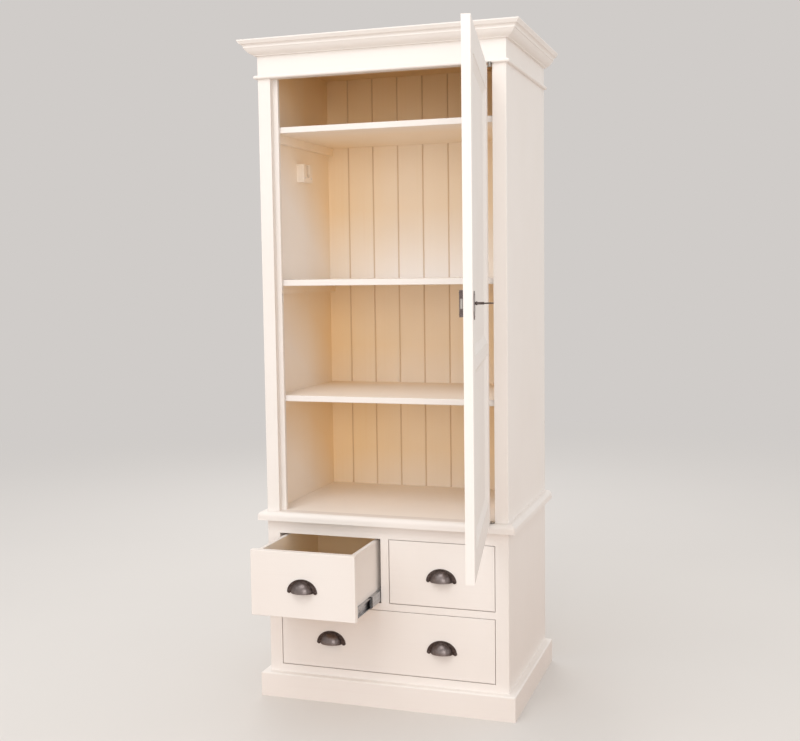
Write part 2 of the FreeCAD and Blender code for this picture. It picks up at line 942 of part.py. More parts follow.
lock_y = (front + s.door_thickness, front + s.door_thickness + s.lock_thickness)
lock_edge = -door_half + s.lock_edge_inset
lock_x = (lock_edge, lock_edge + s.lock_width)
bolt_middle = lock_y[0] + s.lock_thickness / 2
bolt_y = (bolt_middle - s.bolt_thickness / 2, bolt_middle + s.bolt_thickness / 2)
bolt_z = (lock_z - s.bolt_height / 2, lock_z + s.bolt_height / 2)
bolt_room_y = (bolt_y[0] - s.bolt_play, bolt_y[1] + s.bolt_play)
bolt_room_z = (bolt_z[0] - s.bolt_play, bolt_z[1] + s.bolt_play)
key_room = s.key_bit + s.bolt_play
lock_low = lock_z - s.lock_height / 2
lock_high = lock_z + s.lock_height / 2
lock_blank = eased_board(
    "lock_blank", lock_x, lock_y, (lock_low, lock_high), s.eased_edge, ["front_top", "front_bottom"]
)
lock_bosses = [
    rod(
        f"lock_boss_{place}",
        (lock_x[0] + s.lock_width / 2, lock_y[1], z),
        s.lock_boss_rise,
        s.lock_boss,
        "y",
    )
    for place, z in (("low", lock_low + s.lock_boss), ("high", lock_high - s.lock_boss))
]
on_door(
    cut(
        "lock_case",
        join("lock_body", box("lock_block", lock_x, lock_y, (lock_low, lock_high)), *lock_bosses),
        box("bolt_room", (lock_edge, key_x), bolt_room_y, bolt_room_z),
        rod("key_room", (key_x, bolt_room_y[0], lock_z), bolt_room_y[1] - bolt_room_y[0], key_room * 2, "y"),
        rod(
            "key_bearing",
            (key_x, lock_y[0], lock_z),
            bolt_room_y[0] - lock_y[0],
            s.key_shank + s.key_play * 2,
            "y",
        ),
    ),
    "lock_case",
)
bolt = box("bolt", (lock_edge, lock_edge + s.bolt_length), bolt_y, bolt_z)
on_door(group("lock_bolt", bolt), "lock_bolt")

# Keyhole plate: round at the top and drawn down to a point, like a shield
plate_half = s.keyhole_plate_width / 2
plate_y = (front - s.keyhole_plate_thickness, front)
shield_low = lock_z - s.keyhole_plate_drop
shoulder = lock_z - s.keyhole_plate_shoulder
brow = lock_z + s.keyhole_plate_brow
plate_outline = [
    (key_x - plate_half, brow),
    (key_x - plate_half, shoulder, s.keyhole_plate_side_radius, "out"),
    (key_x, shield_low, s.keyhole_plate_side_radius, "out"),
    (key_x + plate_half, shoulder),
    (key_x + plate_half, brow, s.keyhole_plate_crown_radius, "out"),
    (key_x, lock_z + s.keyhole_plate_rise, s.keyhole_plate_crown_radius, "out"),
]
plate_solid = outlined("plate_solid", "XZ_Plane", plate_outline, s.keyhole_plate_thickness)
plate_placed = group("plate_placed", plate_solid)
bind(plate_placed, "Placement.Base.y", front)
on_door(
    cut(
        "escutcheon",
        plate_placed,
        rod("keyhole_round", (key_x, plate_y[0], lock_z), s.keyhole_plate_thickness, s.key_collar, "y"),
        box(
            "keyhole_slot",
            (key_x - s.key_bit_width, key_x + s.key_bit_width),
            plate_y,
            (lock_z - s.key_bit - s.keyhole_spare, lock_z),
        ),
    ),
    "escutcheon",
)

# The key, quarter turned, so that its bow lies level and its bit points away from the bolt
bow_y = front - s.key_reach + s.key_bow_length / 2
bow_z = (lock_z - s.key_bow_thickness / 2, lock_z + s.key_bow_thickness / 2)
bow = doc.addObject("Part::Ellipsoid", "key_bow_round")
for prop, value in (
    ("Radius1", s.key_bow_thickness),
    ("Radius2", s.key_bow_width / 2),
    ("Radius3", s.key_bow_length / 2),
    ("Placement.Base.x", key_x),
    ("Placement.Base.y", bow_y),
    ("Placement.Base.z", lock_z),
):
    bind(bow, prop, value)
bow_slab = box(
    "key_bow_slab",
    (key_x - s.key_bow_width, key_x + s.key_bow_width),
    (bow_y - s.key_bow_length, bow_y + s.key_bow_length),
    bow_z,
)
bow_hole = doc.addObject("Part::Ellipsoid", "key_bow_hole")
for prop, value in (
    ("Radius1", s.key_bow_thickness * 4),
    ("Radius2", s.key_bow_width / 2 - s.key_bow_wall),
    ("Radius3", s.key_bow_length / 2 - s.key_bow_wall),
    ("Placement.Base.x", key_x),
    ("Placement.Base.y", bow_y),
    ("Placement.Base.z", lock_z),
):
    bind(bow_hole, prop, value)
key_bow = cut("key_bow", overlap("key_bow_flat", bow, bow_slab), bow_hole)
shank_from = front - s.key_reach + s.key_bow_length - s.key_bow_lap
shank_to = bolt_room_y[1] - s.bolt_play
on_door(
    join(
        "key",
        key_bow,
        rod("key_shank", (key_x, shank_from, lock_z), shank_to - shank_from, s.key_shank, "y"),
        rod(
            "key_collar",
            (key_x, front - s.keyhole_plate_thickness - s.key_collar_length * 2, lock_z),
            s.key_collar_length,
            s.key_collar,
            "y",
        ),
        box(
            "key_bit",
            (key_x, key_x + s.key_bit),
            (bolt_y[0] + s.bolt_play, bolt_y[1]),
            (lock_z - s.key_bit_width / 2, lock_z + s.key_bit_width / 2),
        ),
    ),
    "key",
)

# The stop that the door shuts against, with the mortise for the bolt

stop_y = (front + s.door_thickness, front + s.door_thickness + s.stop_thickness)
stop_edge = -inside + s.stop_width
node(
    cut(
        "door_stop",
        box("stop_strip", (-inside, stop_edge), stop_y, (waist_high, frieze_low)),
        box(
            "bolt_mortise",
            (stop_edge - s.bolt_throw - s.mortise_spare, stop_edge),
            (bolt_room_y[0] - s.mortise_play, bolt_room_y[1] + s.mortise_play),
            (bolt_room_z[0] - s.mortise_play, bolt_room_z[1] + s.mortise_play),
        ),
    ),
    "door_stop",
)

# Drawers


# The boxes and their runners are as deep as the carcass leaves room for.
drawer_box_depth = back_face - s.drawer_rear_gap - front - s.drawer_front_thickness


def channel(name, back_x, open_x, y, middle_z, height):
    """A steel channel along Y: a web at back_x, and two flanges that reach towards open_x."""
    rightwards = open_x.number > back_x.number
    x = (back_x, open_x) if rightwards else (open_x, back_x)
    z = (middle_z - height / 2, middle_z + height / 2)
    inner_x = (x[0] + s.runner_sheet, x[1]) if rightwards else (x[0], x[1] - s.runner_sheet)
    inner_z = (z[0] + s.runner_sheet, z[1] - s.runner_sheet)
    return cut(name, box(f"{name}_outside", x, y, z), box(f"{name}_inside", inner_x, y, inner_z))


def runner(name, wall_x, side, out, middle_z):
    """One telescopic runner from a wall of the base towards a drawer, which lies to that side."""
    reach = s.runner_thickness
    flange = reach - s.runner_sheet - s.runner_play * 2
    middle_height = s.runner_height - s.runner_sheet * 2 - s.runner_play * 2
    inner_height = middle_height - s.runner_sheet * 2 - s.runner_play * 2
    low = frame_back
    high = frame_back + drawer_box_depth
    middle_web = s.runner_sheet + s.runner_play
    inner_edge = middle_web + s.runner_sheet + s.runner_play
    fixed = channel(
        f"{name}_fixed", wall_x, wall_x + flange * side, (low, high), middle_z, s.runner_height
    )
    middle = channel(
        f"{name}_middle",
        wall_x + middle_web * side,
        wall_x + flange * side,
        (low - out / 2, high - out / 2),
        middle_z,
        middle_height,
    )
    inner = channel(
        f"{name}_inner",
        wall_x + reach * side,
        wall_x + inner_edge * side,
        (low - out, high - out),
        middle_z,
        inner_height,
    )
    return fixed, middle, inner


def cup_pull(name, centre_x, face_y, low):
    """A half-round cup, open below for the fingers, on a rim that ends in two round ears."""
    def egg(part, across, out, up):
        shape = doc.addObject("Part::Ellipsoid", f"{name}_{part}")
        for prop, value in (
            ("Radius1", up), ("Radius2", across), ("Radius3", out),
            ("Placement.Base.x", centre_x), ("Placement.Base.y", face_y), ("Placement.Base.z", low),
        ):
            bind(shape, prop, value)
        return shape

    half_width = s.pull_width / 2
    cup_half = half_width - s.pull_cheek
    cup_height = s.pull_height - s.pull_brow
    around = (centre_x - s.pull_width, centre_x + s.pull_width)
    above = (low, low + s.pull_height * 2)
    cup = overlap(
        f"{name}_cup",
        egg("dome", cup_half, s.pull_reach, cup_height),
        box(f"{name}_dome_room", around, (face_y - s.pull_reach * 2, face_y), above),
    )
    rim = overlap(
        f"{name}_rim",
        egg("rim_round", half_width, s.pull_reach * 4, s.pull_height),
        box(f"{name}_rim_slab", around, (face_y - s.pull_rim_thickness, face_y), above),
    )
    ears = [
        rod(
            f"{name}_ear_{word}",
            (
                centre_x + (half_width - s.pull_ear / 2) * side,
                face_y - s.pull_rim_thickness,
                low + s.pull_ear_rise,
            ),
            s.pull_rim_thickness,
            s.pull_ear,
            "y",
        )
        for word, side in (("left", -1), ("right", 1))
    ]
    hollow = egg(
        "hollow", cup_half - s.pull_wall, s.pull_reach - s.pull_wall, cup_height - s.pull_wall
    )
    return cut(f"{name}_pull", join(f"{name}_blank", cup, rim, *ears), hollow)


def drawer(name, x, opening_z, walls, out, pull_places):
    """A drawer on its two runners.

    x is the opening across, and walls are the two faces that the runners are fixed to.
    """
    face = front - out
    front_x = (x[0] + s.drawer_gap, x[1] - s.drawer_gap)
    front_z = (opening_z[0] + s.drawer_gap, opening_z[1] - s.drawer_gap)
    front_back = face + s.drawer_front_thickness
    node(
        eased_board(
            f"{name}_front",
            front_x,
            (face, front_back),
            front_z,
            s.eased_edge,
            ["left_front", "right_front", "front_top", "front_bottom"],
        ),
        f"{name}_front",
    )
    left = walls[0] + s.runner_thickness
    right = walls[1] - s.runner_thickness
    low = opening_z[0] + s.drawer_box_up
    box_z = (low, opening_z[1] - s.drawer_box_head)
    box_rear = front_back + drawer_box_depth
    floor_z = (low + s.drawer_floor_up, low + s.drawer_floor_up + s.drawer_floor)
    groove = s.drawer_floor_groove
    floor_board = box(
        f"{name}_floor",
        (left + s.drawer_wall - groove, right - s.drawer_wall + groove),
        (front_back, box_rear - s.drawer_wall + groove),
        floor_z,
    )
    wall_left = box(f"{name}_wall_left", (left, left + s.drawer_wall), (front_back, box_rear), box_z)
    wall_right = box(f"{name}_wall_right", (right - s.drawer_wall, right), (front_back, box_rear), box_z)
    wall_back = box(
        f"{name}_wall_back",
        (left + s.drawer_wall, right - s.drawer_wall),
        (box_rear - s.drawer_wall, box_rear),
        box_z,
    )
    box_walls = [
        cut(f"{wall.Name}_grooved", wall, floor_board) for wall in (wall_left, wall_right, wall_back)
    ]
    node(group(f"{name}_box", *box_walls), f"{name}_box")
    node(floor_board, f"{name}_floor")
    runner_z = low + s.runner_up
    sides = [
        runner(f"{name}_runner_left", walls[0], 1, out, runner_z),
        runner(f"{name}_runner_right", walls[1], -1, out, runner_z),
    ]
    pulls = [
        cup_pull(f"{name}_{word}", place, face, front_z[0] + s.pull_up) for word, place in pull_places
    ]
    node(group(f"{name}_pull", *pulls), f"{name}_pull")
    node(group(f"{name}_inner_rails", sides[0][2], sides[1][2]), f"{name}_inner_rails")
    node(group(f"{name}_middle_rails", sides[0][1], sides[1][1]), f"{name}_middle_rails")
    return [sides[0][0], sides[1][0]], runner_z


small_z = (small_low, small_high)
large_z = (large_low, large_high)
pull_x = (opening + half_partition) / 2
left_fixed, small_runner_z = drawer(
    "left_drawer",
    (-opening, -half_partition),
    small_z,
    (-opening, -half_partition),
    s.drawer_out,
    [("cup", -pull_x)],
)
right_fixed, small_runner_z = drawer(
    "right_drawer",
    (half_partition, opening),
    small_z,
    (half_partition, opening),
    zero,
    [("cup", pull_x)],
)
large_fixed, large_runner_z = drawer(
    "large_drawer",
    (-opening, opening),
    large_z,
    (-opening, opening),
    zero,
    [("cup_left", -pull_x), ("cup_right", pull_x)],
)
node(group("fixed_rails", *left_fixed, *right_fixed, *large_fixed), "fixed_rails")

# Packers carry the outer runners level with the edge of the face frame
packers = []
for name, z in (("small", small_runner_z), ("large", large_runner_z)):
    for side in (-1, 1):
        packer_x = (opening, inside) if side == 1 else (-inside, -opening)
        word = "right" if side == 1 else "left"
        packers.append(
            box(
                f"packer_{name}_{word}",
                packer_x,
                (frame_back, back_face),
                (z - s.packer_height / 2, z + s.packer_height / 2),
            )
        )
node(group("runner_packers", *packers), "runner_packers")

doc.recompute()

for thing in doc.Objects:
    if "Invalid" in thing.State or "Error" in thing.State:
        raise RuntimeError(f"{thing.Name} did not build: {thing.State}")
for piece in nodes:
    if piece.Shape.isNull() or not piece.Shape.isValid():
        raise RuntimeError(f"{piece.Label} has no valid shape")
    if not piece.Shape.Solids:
        raise RuntimeError(f"{piece.Label} has no solid")

os.makedirs("parts", exist_ok=True)
for piece in nodes:
    piece.Shape.exportStep(f"parts/{piece.Label}.step")
print(len(nodes), "sub-parts written")
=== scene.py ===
import math

import bmesh
import bpy
from bpy.props import FloatProperty, FloatVectorProperty, IntProperty, PointerProperty
from mathutils import Matrix, Vector


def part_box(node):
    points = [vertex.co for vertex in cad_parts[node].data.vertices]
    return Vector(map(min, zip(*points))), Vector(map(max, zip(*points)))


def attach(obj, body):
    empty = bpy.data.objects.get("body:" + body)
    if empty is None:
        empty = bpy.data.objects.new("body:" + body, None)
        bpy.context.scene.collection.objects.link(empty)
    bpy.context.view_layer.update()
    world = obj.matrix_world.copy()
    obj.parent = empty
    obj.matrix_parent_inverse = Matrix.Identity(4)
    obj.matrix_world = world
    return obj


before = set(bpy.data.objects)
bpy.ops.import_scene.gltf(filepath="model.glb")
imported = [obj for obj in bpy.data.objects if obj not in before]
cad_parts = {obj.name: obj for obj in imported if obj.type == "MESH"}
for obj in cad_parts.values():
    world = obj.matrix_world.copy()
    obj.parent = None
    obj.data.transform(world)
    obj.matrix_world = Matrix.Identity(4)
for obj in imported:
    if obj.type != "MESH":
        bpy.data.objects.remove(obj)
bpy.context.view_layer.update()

# A painted wardrobe: a base with three drawers, and a cupboard with one panelled door above it.
# Metres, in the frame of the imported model: the origin is on the floor under the centre of the
# carcass, X runs across the front, and the front faces -Y. As the model is drawn, the door stands
# open and the left drawer is pulled out.

bl_info = {
    "name": "Painted wardrobe",
    "version": (1, 0, 0),
    "blender": (4, 5, 0),
    "location": "3D View > Sidebar > Wardrobe",
    "description": "Paint, wood, iron and steel for the wardrobe, its screws and its stage",
    "category": "Object",
}

MM = 0.001

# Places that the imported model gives
INSIDE_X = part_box("back_boards")[1].x
BACK_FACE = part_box("back_boards")[1].y
FRAME_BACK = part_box("side_left")[0].y
SHELF_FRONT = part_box("shelf_middle")[0].y
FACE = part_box("stiles")[0].y

# The door's pivot, how far the door stands open, and the places on it while it is closed. The
# keyhole plate's screws are smaller than the lock's by the last share.
DOOR_PIVOT = Vector((0.3345, -0.277, 0.0))
DOOR_TURN = math.radians(100.8)
KEY_X, KEY_Z = -0.300, 1.235
LOCK_FACE = -0.238
LOCK_SCREWS_X, LOCK_SCREWS_Z = (-0.3195, -0.2885), (1.2095, 1.2605)
PLATE_THICKNESS = 2 * MM
PLATE_SCREWS_OVER_KEY = (20 * MM, -31 * MM)
PLATE_SCREW_SHARE = 0.8

# The drawers and their pulls. The crown of a cup, which fingers rub and which carries a
# painted highlight, is given as shares of how far the cup reaches forward.
LEFT_DRAWER_OUT = 0.217
PULL_EAR, PULL_EAR_THICKNESS = 12 * MM, 2.4 * MM
CROWN_START, CROWN_END = 0.45, 1.05

# The rail sockets' thickness, and their screws: over the lower edge, and before and behind
SOCKET_THICKNESS = 25 * MM
SOCKET_SCREW_UP, SOCKET_SCREWS_Y = 13 * MM, (-25 * MM, 25 * MM)

# The matched boards at the back, and how far in from the edges their screws are
FIRST_BACK_JOINT, BACK_BOARD, BACK_JOINTS = -0.286, 0.088, 8
BACK_SCREW_EDGE = 20 * MM
BASE_BACK_EDGE_X, BASE_BACK_EDGE_LOW, BASE_BACK_EDGE_HIGH = 15 * MM, 40 * MM, 20 * MM

# The runners: their sheet, the depth of the middle member's channel, the cap round its front end
# and the buffer in it
RAIL_SHEET, CHANNEL_DEPTH = 1.2 * MM, 9.1 * MM
CAP_SKIN, CAP_GAP, CAP_LEAD, CAP_EDGE = 0.3 * MM, 0.02 * MM, 0.8 * MM, 0.08 * MM
BUFFER_DEPTH, BUFFER_MARGIN, BUFFER_EDGE = 6.4 * MM, 5 * MM, 1.2 * MM
RAIL_SCREWS_ALONG = (36 * MM, 225 * MM, 414 * MM)

# Screw heads: rise and slot depth as shares of the diameter, half the slot's width and length as
# shares of the radius, and the turns in which the screws of one row come to rest
HEAD_RISE, SLOT_DEPTH = 0.22, 0.14
SLOT_WIDE, SLOT_LONG = 0.13, 0.62
HEAD_SKIRT = 0.3 * MM
FIRST_TURN, NEXT_TURN = 0.35, 2.1
SHARP_EDGE = math.radians(40)

# The photograph's camera
CAMERA_PLACE = Vector((1.11858, -3.48437, 1.30978))
CAMERA_YAW, CAMERA_PITCH, CAMERA_ROLL = (math.radians(a) for a in (18.283, -4.887, -0.757))
CAMERA_LENS, SENSOR = 52.01, 36.0

# Each lamp's name, place, breadth in metres and power in watts
LAMPS = (
    ("front_lamp", (3.1, -9.4, 2.3), 4.2, 171.0),
    ("side_lamp", (4.2, -2.4, 1.7), 2.2, 14.5),
    ("left_lamp", (-1.7, -3.6, 2.5), 2.2, 10.0),
    ("top_lamp", (-0.4, -4.0, 5.2), 2.8, 75.0),
    ("back_lamp", (-1.6, 3.6, 3.0), 2.4, 30.0),
)
LAMPS_AIM = Vector((0.0, 0.0, 1.0))
ROOM_LIGHT = 0.90
FLOOR_RADIUS = 14.0

# From where to where, in metres from the middle of the floor, its bounce pales and its haze grows
BOUNCE_START, BOUNCE_END = 1.2, 3.2
HAZE_START, HAZE_END = 1.6, 6.5

BODY_OF_DRAWER = {"left": "left_drawer", "right": "right_drawer", "large": "large_drawer"}
DRAWERS = tuple(BODY_OF_DRAWER)

UPRIGHT_BOARDS = (
    "side_left", "side_right", "stiles", "base_sides", "base_stiles", "base_partition",
    "door_stop",
)
BOARDS_ACROSS = (
    "plinth_front", "base_bottom_rail", "base_mid_rail", "base_top_rail", "frieze_board",
    "astragal", "cornice_front", "top_panel", "shelf_upper", "shelf_middle", "shelf_lower",
    "rail_sockets",
)
BOARDS_FRONT_TO_BACK = ("plinth_returns", "cornice_returns", "shelf_cleats")
# Boards whose faces in the case take painted light and painted shade
LIT_AND_SHADED_BOARDS = ("side_left", "side_right", "shelf_cleats", "top_panel", "rail_sockets")
SHELVES = ("shelf_lower", "shelf_middle", "shelf_upper")
HIDDEN_BOARDS = ("base_bottom_panel", "base_bearer", "base_back_panel", "runner_packers")
UPRIGHT_DOOR_PIECES = (
    "door_hinge_stile", "door_lock_stile", "door_panel_upper", "door_panel_lower",
)
DOOR_PIECES_ACROSS = ("door_top_rail", "door_mid_rail", "door_bottom_rail")


def linear(hex_colour):
    """The linear colour, with its alpha, of an sRGB colour such as #F7EDE2."""
    parts = [int(hex_colour[i:i + 2], 16) / 255 for i in (1, 3, 5)]
    return tuple(
        part / 12.92 if part <= 0.04045 else ((part + 0.055) / 1.055) ** 2.4 for part in parts
    ) + (1.0,)


def colour(name, description, hex_colour):
    """A colour that a user may change."""
    return FloatVectorProperty(
        name=name, description=description, default=linear(hex_colour),
        subtype="COLOR", size=4, min=0.0, max=1.0,
    )


def length(name, description, millimetres):
    """A length that a user may change."""
    return FloatProperty(
        name=name, description=description, default=millimetres * MM,
        min=0.0, unit="LENGTH", precision=4,
    )


class WardrobeColours(bpy.types.PropertyGroup):
    paint: colour("Paint", "Cream paint on the outside", "#EEE7E1")
    # Painted light: the same paint made paler in the case and the drawers, where little light
    # reaches
    paint_case: colour(
        "Paint in the case", "The paint where neither hands nor dust have dulled it", "#FDF8F4")
    # Painted shade: the paint's deeper yellow tone in the dark of the case and the drawers
    paint_inside: colour(
        "Yellowed paint", "The same paint in the dark of the case and the drawers", "#FDE0B5")
    # Painted shade in the joints between the back boards
    paint_joint: colour("Joint line", "Dust in the joints between the back boards", "#C9A578")
    pine: colour("Pine", "The boards behind the drawers, between their growth lines", "#DFC096")
    pine_line: colour("Pine line", "Growth lines of the pine and bands of the plywood", "#C0925C")
    ply: colour("Plywood", "Face of the drawer floors", "#EBD6B4")
    iron: colour("Dark iron", "Browned cast iron of the pulls and the lock", "#4A3E3A")
    # Rubbed wear on the ironwork, and the painted highlight on the crown of the pulls
    iron_rubbed_and_lit: colour("Rubbed iron", "Where hands have rubbed the browning", "#9E9492")
    zinc: colour("Zinc", "Zinc on the steel runners and screws", "#C3C5C8")
    stop: colour("Stops", "Black plastic stops of the runners", "#1C1B1D")
    bolt: colour("Bolt", "Dull steel of the lock's bolt and the pivots", "#A8A29B")
    floor: colour("Floor", "The pale floor", "#DAD5D0")
    floor_bounce: colour("Floor's bounce", "The floor as the wardrobe is lit by it", "#BDA696")
    backdrop: colour("Backdrop", "The pale grey behind the wardrobe", "#D0CCC9")


class WardrobeSizes(bpy.types.PropertyGroup):
    pull_screw: length("Pull screw", "Diameter of the round heads in the pulls' ears", 6.4)
    lock_screw: length("Lock screw", "Diameter of the heads on the lock's case", 5.0)
    socket_screw: length("Socket screw", "Diameter of the heads in the rail sockets", 7.0)
    back_screw: length("Back screw", "Diameter of the heads in the back boards", 7.0)
    rail_screw: length("Runner screw", "Diameter of the flat heads in the runners", 6.0)
    stop_length: length("Stop length", "How far the runners' plastic stops reach back", 14.0)
    back_screw_rows: IntProperty(
        name="Rows of back screws", description="Rows of screws up the back boards",
        default=4, min=2,
    )


# ---------------------------------------------------------------- Shapes

def as_piece(name, bm, body, material):
    """Turn a bmesh into a named piece that rides on a body, with its place in its mesh."""
    bmesh.ops.remove_doubles(bm, verts=bm.verts, dist=1e-6)
    bmesh.ops.recalc_face_normals(bm, faces=bm.faces)
    mesh = bpy.data.meshes.new(name)
    bm.to_mesh(mesh)
    bm.free()
    mesh.shade_smooth()
    mesh.set_sharp_from_angle(angle=SHARP_EDGE)
    mesh.materials.append(material)
    piece = bpy.data.objects.new(name, mesh)
    bpy.context.scene.collection.objects.link(piece)
    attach(piece, body)


def facing(place, direction, turn):
    """The matrix that stands a shape drawn round Z on a place, with its top in a direction."""
    tilt = Vector((0, 0, 1)).rotation_difference(Vector(direction)).to_matrix().to_4x4()
    return Matrix.Translation(Vector(place)) @ tilt @ Matrix.Rotation(turn, 4, "Z")


def screw_head(bm, matrix, diameter, crossed):
    """A domed head on Z, with a slot or a cross pressed into it, and a short skirt below."""
    radius = diameter / 2
    head = bmesh.ops.create_grid(bm, x_segments=5, y_segments=5, size=1.0)["verts"]
    lines = (-1.0, -SLOT_LONG, -SLOT_WIDE, SLOT_WIDE, SLOT_LONG, 1.0)
    for vert in head:
        for axis in (0, 1):
            # The grid's six lines, 0.4 apart, move to the edges of the slot
            vert.co[axis] = lines[round((vert.co[axis] + 1.0) / 0.4)]
        if max(abs(vert.co.x), abs(vert.co.y)) > 0.99:
            vert.co = vert.co.normalized()
        vert.co.z = HEAD_RISE * diameter * (1 - vert.co.xy.length_squared)
        vert.co.xy *= radius

    def in_slot(face):
        middle = face.calc_center_median() / radius
        across, along = abs(middle.x), abs(middle.y)
        slotted = across < SLOT_WIDE and along < SLOT_LONG
        return slotted or (crossed and along < SLOT_WIDE and across < SLOT_LONG)

    pressed = [face for face in {f for vert in head for f in vert.link_faces} if in_slot(face)]
    own = set(head)
    rim = [edge for edge in bm.edges if edge.is_boundary and edge.verts[0] in own]
    skirt = bmesh.ops.extrude_edge_only(bm, edges=rim)["geom"]
    low = [item for item in skirt if isinstance(item, bmesh.types.BMVert)]
    bmesh.ops.translate(bm, verts=low, vec=(0, 0, -HEAD_SKIRT))
    sunk = bmesh.ops.extrude_face_region(bm, geom=pressed)["geom"]
    sunk = [item for item in sunk if isinstance(item, bmesh.types.BMVert)]
    bmesh.ops.translate(bm, verts=sunk, vec=(0, 0, -SLOT_DEPTH * diameter))
    bmesh.ops.delete(bm, geom=pressed, context="FACES_KEEP_BOUNDARY")
    whole = [vert for vert in head + low + sunk if vert.is_valid]
    bmesh.ops.transform(bm, matrix=matrix, verts=whole)


def screws(name, places, body, material, diameter, crossed=False):
    """Heads of like screws in one piece. A place is a point and the direction that it faces."""
    bm = bmesh.new()
    for number, (place, direction) in enumerate(places):
        turn = FIRST_TURN + number * NEXT_TURN
        screw_head(bm, facing(place, direction, turn), diameter, crossed)
    as_piece(name, bm, body, material)


def block(bm, low, high, rounding, segments):
    """A moulded block between two corners, with rounded edges."""
    low, high = Vector(low), Vector(high)
    corners = bmesh.ops.create_cube(bm, size=1.0)["verts"]
    bmesh.ops.scale(bm, verts=corners, vec=high - low)
    bmesh.ops.translate(bm, verts=corners, vec=(low + high) / 2)
    edges = list({edge for vert in corners for edge in vert.link_edges})
    bmesh.ops.bevel(
        bm, geom=edges, offset=rounding, segments=segments, affect="EDGES", profile=0.5,
        material=-1,
    )


def on_open_door(place):
    """Where a place on the closed door is when the door stands open, as the model is drawn."""
    return Matrix.Rotation(DOOR_TURN, 3, "Z") @ (Vector(place) - DOOR_PIVOT) + DOOR_PIVOT


def turned_with_door(direction):
    """A direction on the closed door, as it points when the door stands open."""
    return Matrix.Rotation(DOOR_TURN, 3, "Z") @ Vector(direction)


# ---------------------------------------------------------------- Patterns

# The sockets of a Mix node that blends two colours
AMOUNT, FIRST, SECOND = 0, 6, 7


def feed(tree, item, inputs):
    """Give a node's inputs, in their order or by name or number, a value or a link.

    A node stands for the first output that it has in use.
    """
    pairs = inputs.items() if isinstance(inputs, dict) else enumerate(inputs)
    for socket, value in pairs:
        if isinstance(value, bpy.types.Node):
            value = next(output for output in value.outputs if output.enabled)
        if isinstance(value, bpy.types.NodeSocket):
            tree.links.new(value, item.inputs[socket])
        else:
            item.inputs[socket].default_value = value


def add(tree, kind, inputs=(), **settings):
    """Add one shader node with its settings, its values and its links, and give it back."""
    item = tree.nodes.new("ShaderNode" + kind)
    for name, value in settings.items():
        setattr(item, name, value)
    feed(tree, item, inputs)
    return item


def place_on(tree, turn=0.0):
    """Where a point is on the object, in metres, with the pattern turned about Z if asked."""
    place = add(tree, "TexCoord").outputs["Object"]
    if turn:
        place = add(tree, "Mapping", {"Vector": place, "Rotation": (0, 0, turn)})
    return place


def stretched_noise(tree, place, spacing, detail, distortion=0.0):
    """Noise whose patches are as long along X, Y and Z as the spacing says, in millimetres."""
    scale = tuple(1 / (gap * MM) for gap in spacing)
    stretched = add(tree, "Mapping", {"Vector": place, "Scale": scale})
    return add(tree, "TexNoise", {
        "Vector": stretched, "Scale": 1.0, "Detail": detail, "Roughness": 0.55,
        "Distortion": distortion,
    })


def along_grain(grain, across, along):
    """A spacing that is long along the grain's axis and short across it."""
    return tuple(along if axis == grain else across for axis in "XYZ")


def inside(tree, place, low, high):
    """1 where a surface lies inside a hollow between two corners, and 0 outside it."""
    axes = add(tree, "SeparateXYZ", (place,)).outputs
    inner = 1.0
    for axis, least, most in zip(axes, low, high):
        above = add(tree, "Math", (axis, least), operation="GREATER_THAN")
        below = add(tree, "Math", (axis, most), operation="LESS_THAN")
        between = add(tree, "Math", (above, below), operation="MULTIPLY")
        inner = add(tree, "Math", (inner, between), operation="MULTIPLY")
    return inner


# The hollows in which the paint is made paler, as painted light, and takes painted shade. Each
# begins a hair outside the faces that it takes in, and stops short of the outer faces of the
# case's back and top.
CASE_HOLLOW = (
    Vector((-INSIDE_X - 0.5 * MM, FRAME_BACK - 0.3 * MM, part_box("waist_board")[1].z - 0.5 * MM)),
    Vector((INSIDE_X + 0.5 * MM, BACK_FACE - 1 * MM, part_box("top_panel")[1].z - 1 * MM)),
)
SHELF_HOLLOW = (
    Vector((CASE_HOLLOW[0].x, SHELF_FRONT + 1 * MM, CASE_HOLLOW[0].z)),
    CASE_HOLLOW[1],
)

# The painted shade follows daylight that falls this far for each metre that it goes into the
# case. A place counts as over a shelf from half the shelf's thickness up. The waist board takes a
# smaller share of the painted shade than the rest.
DAYLIGHT_FALL = 0.7
HALF_SHELF = 9 * MM
WAIST_SHADE_SHARE = 0.4


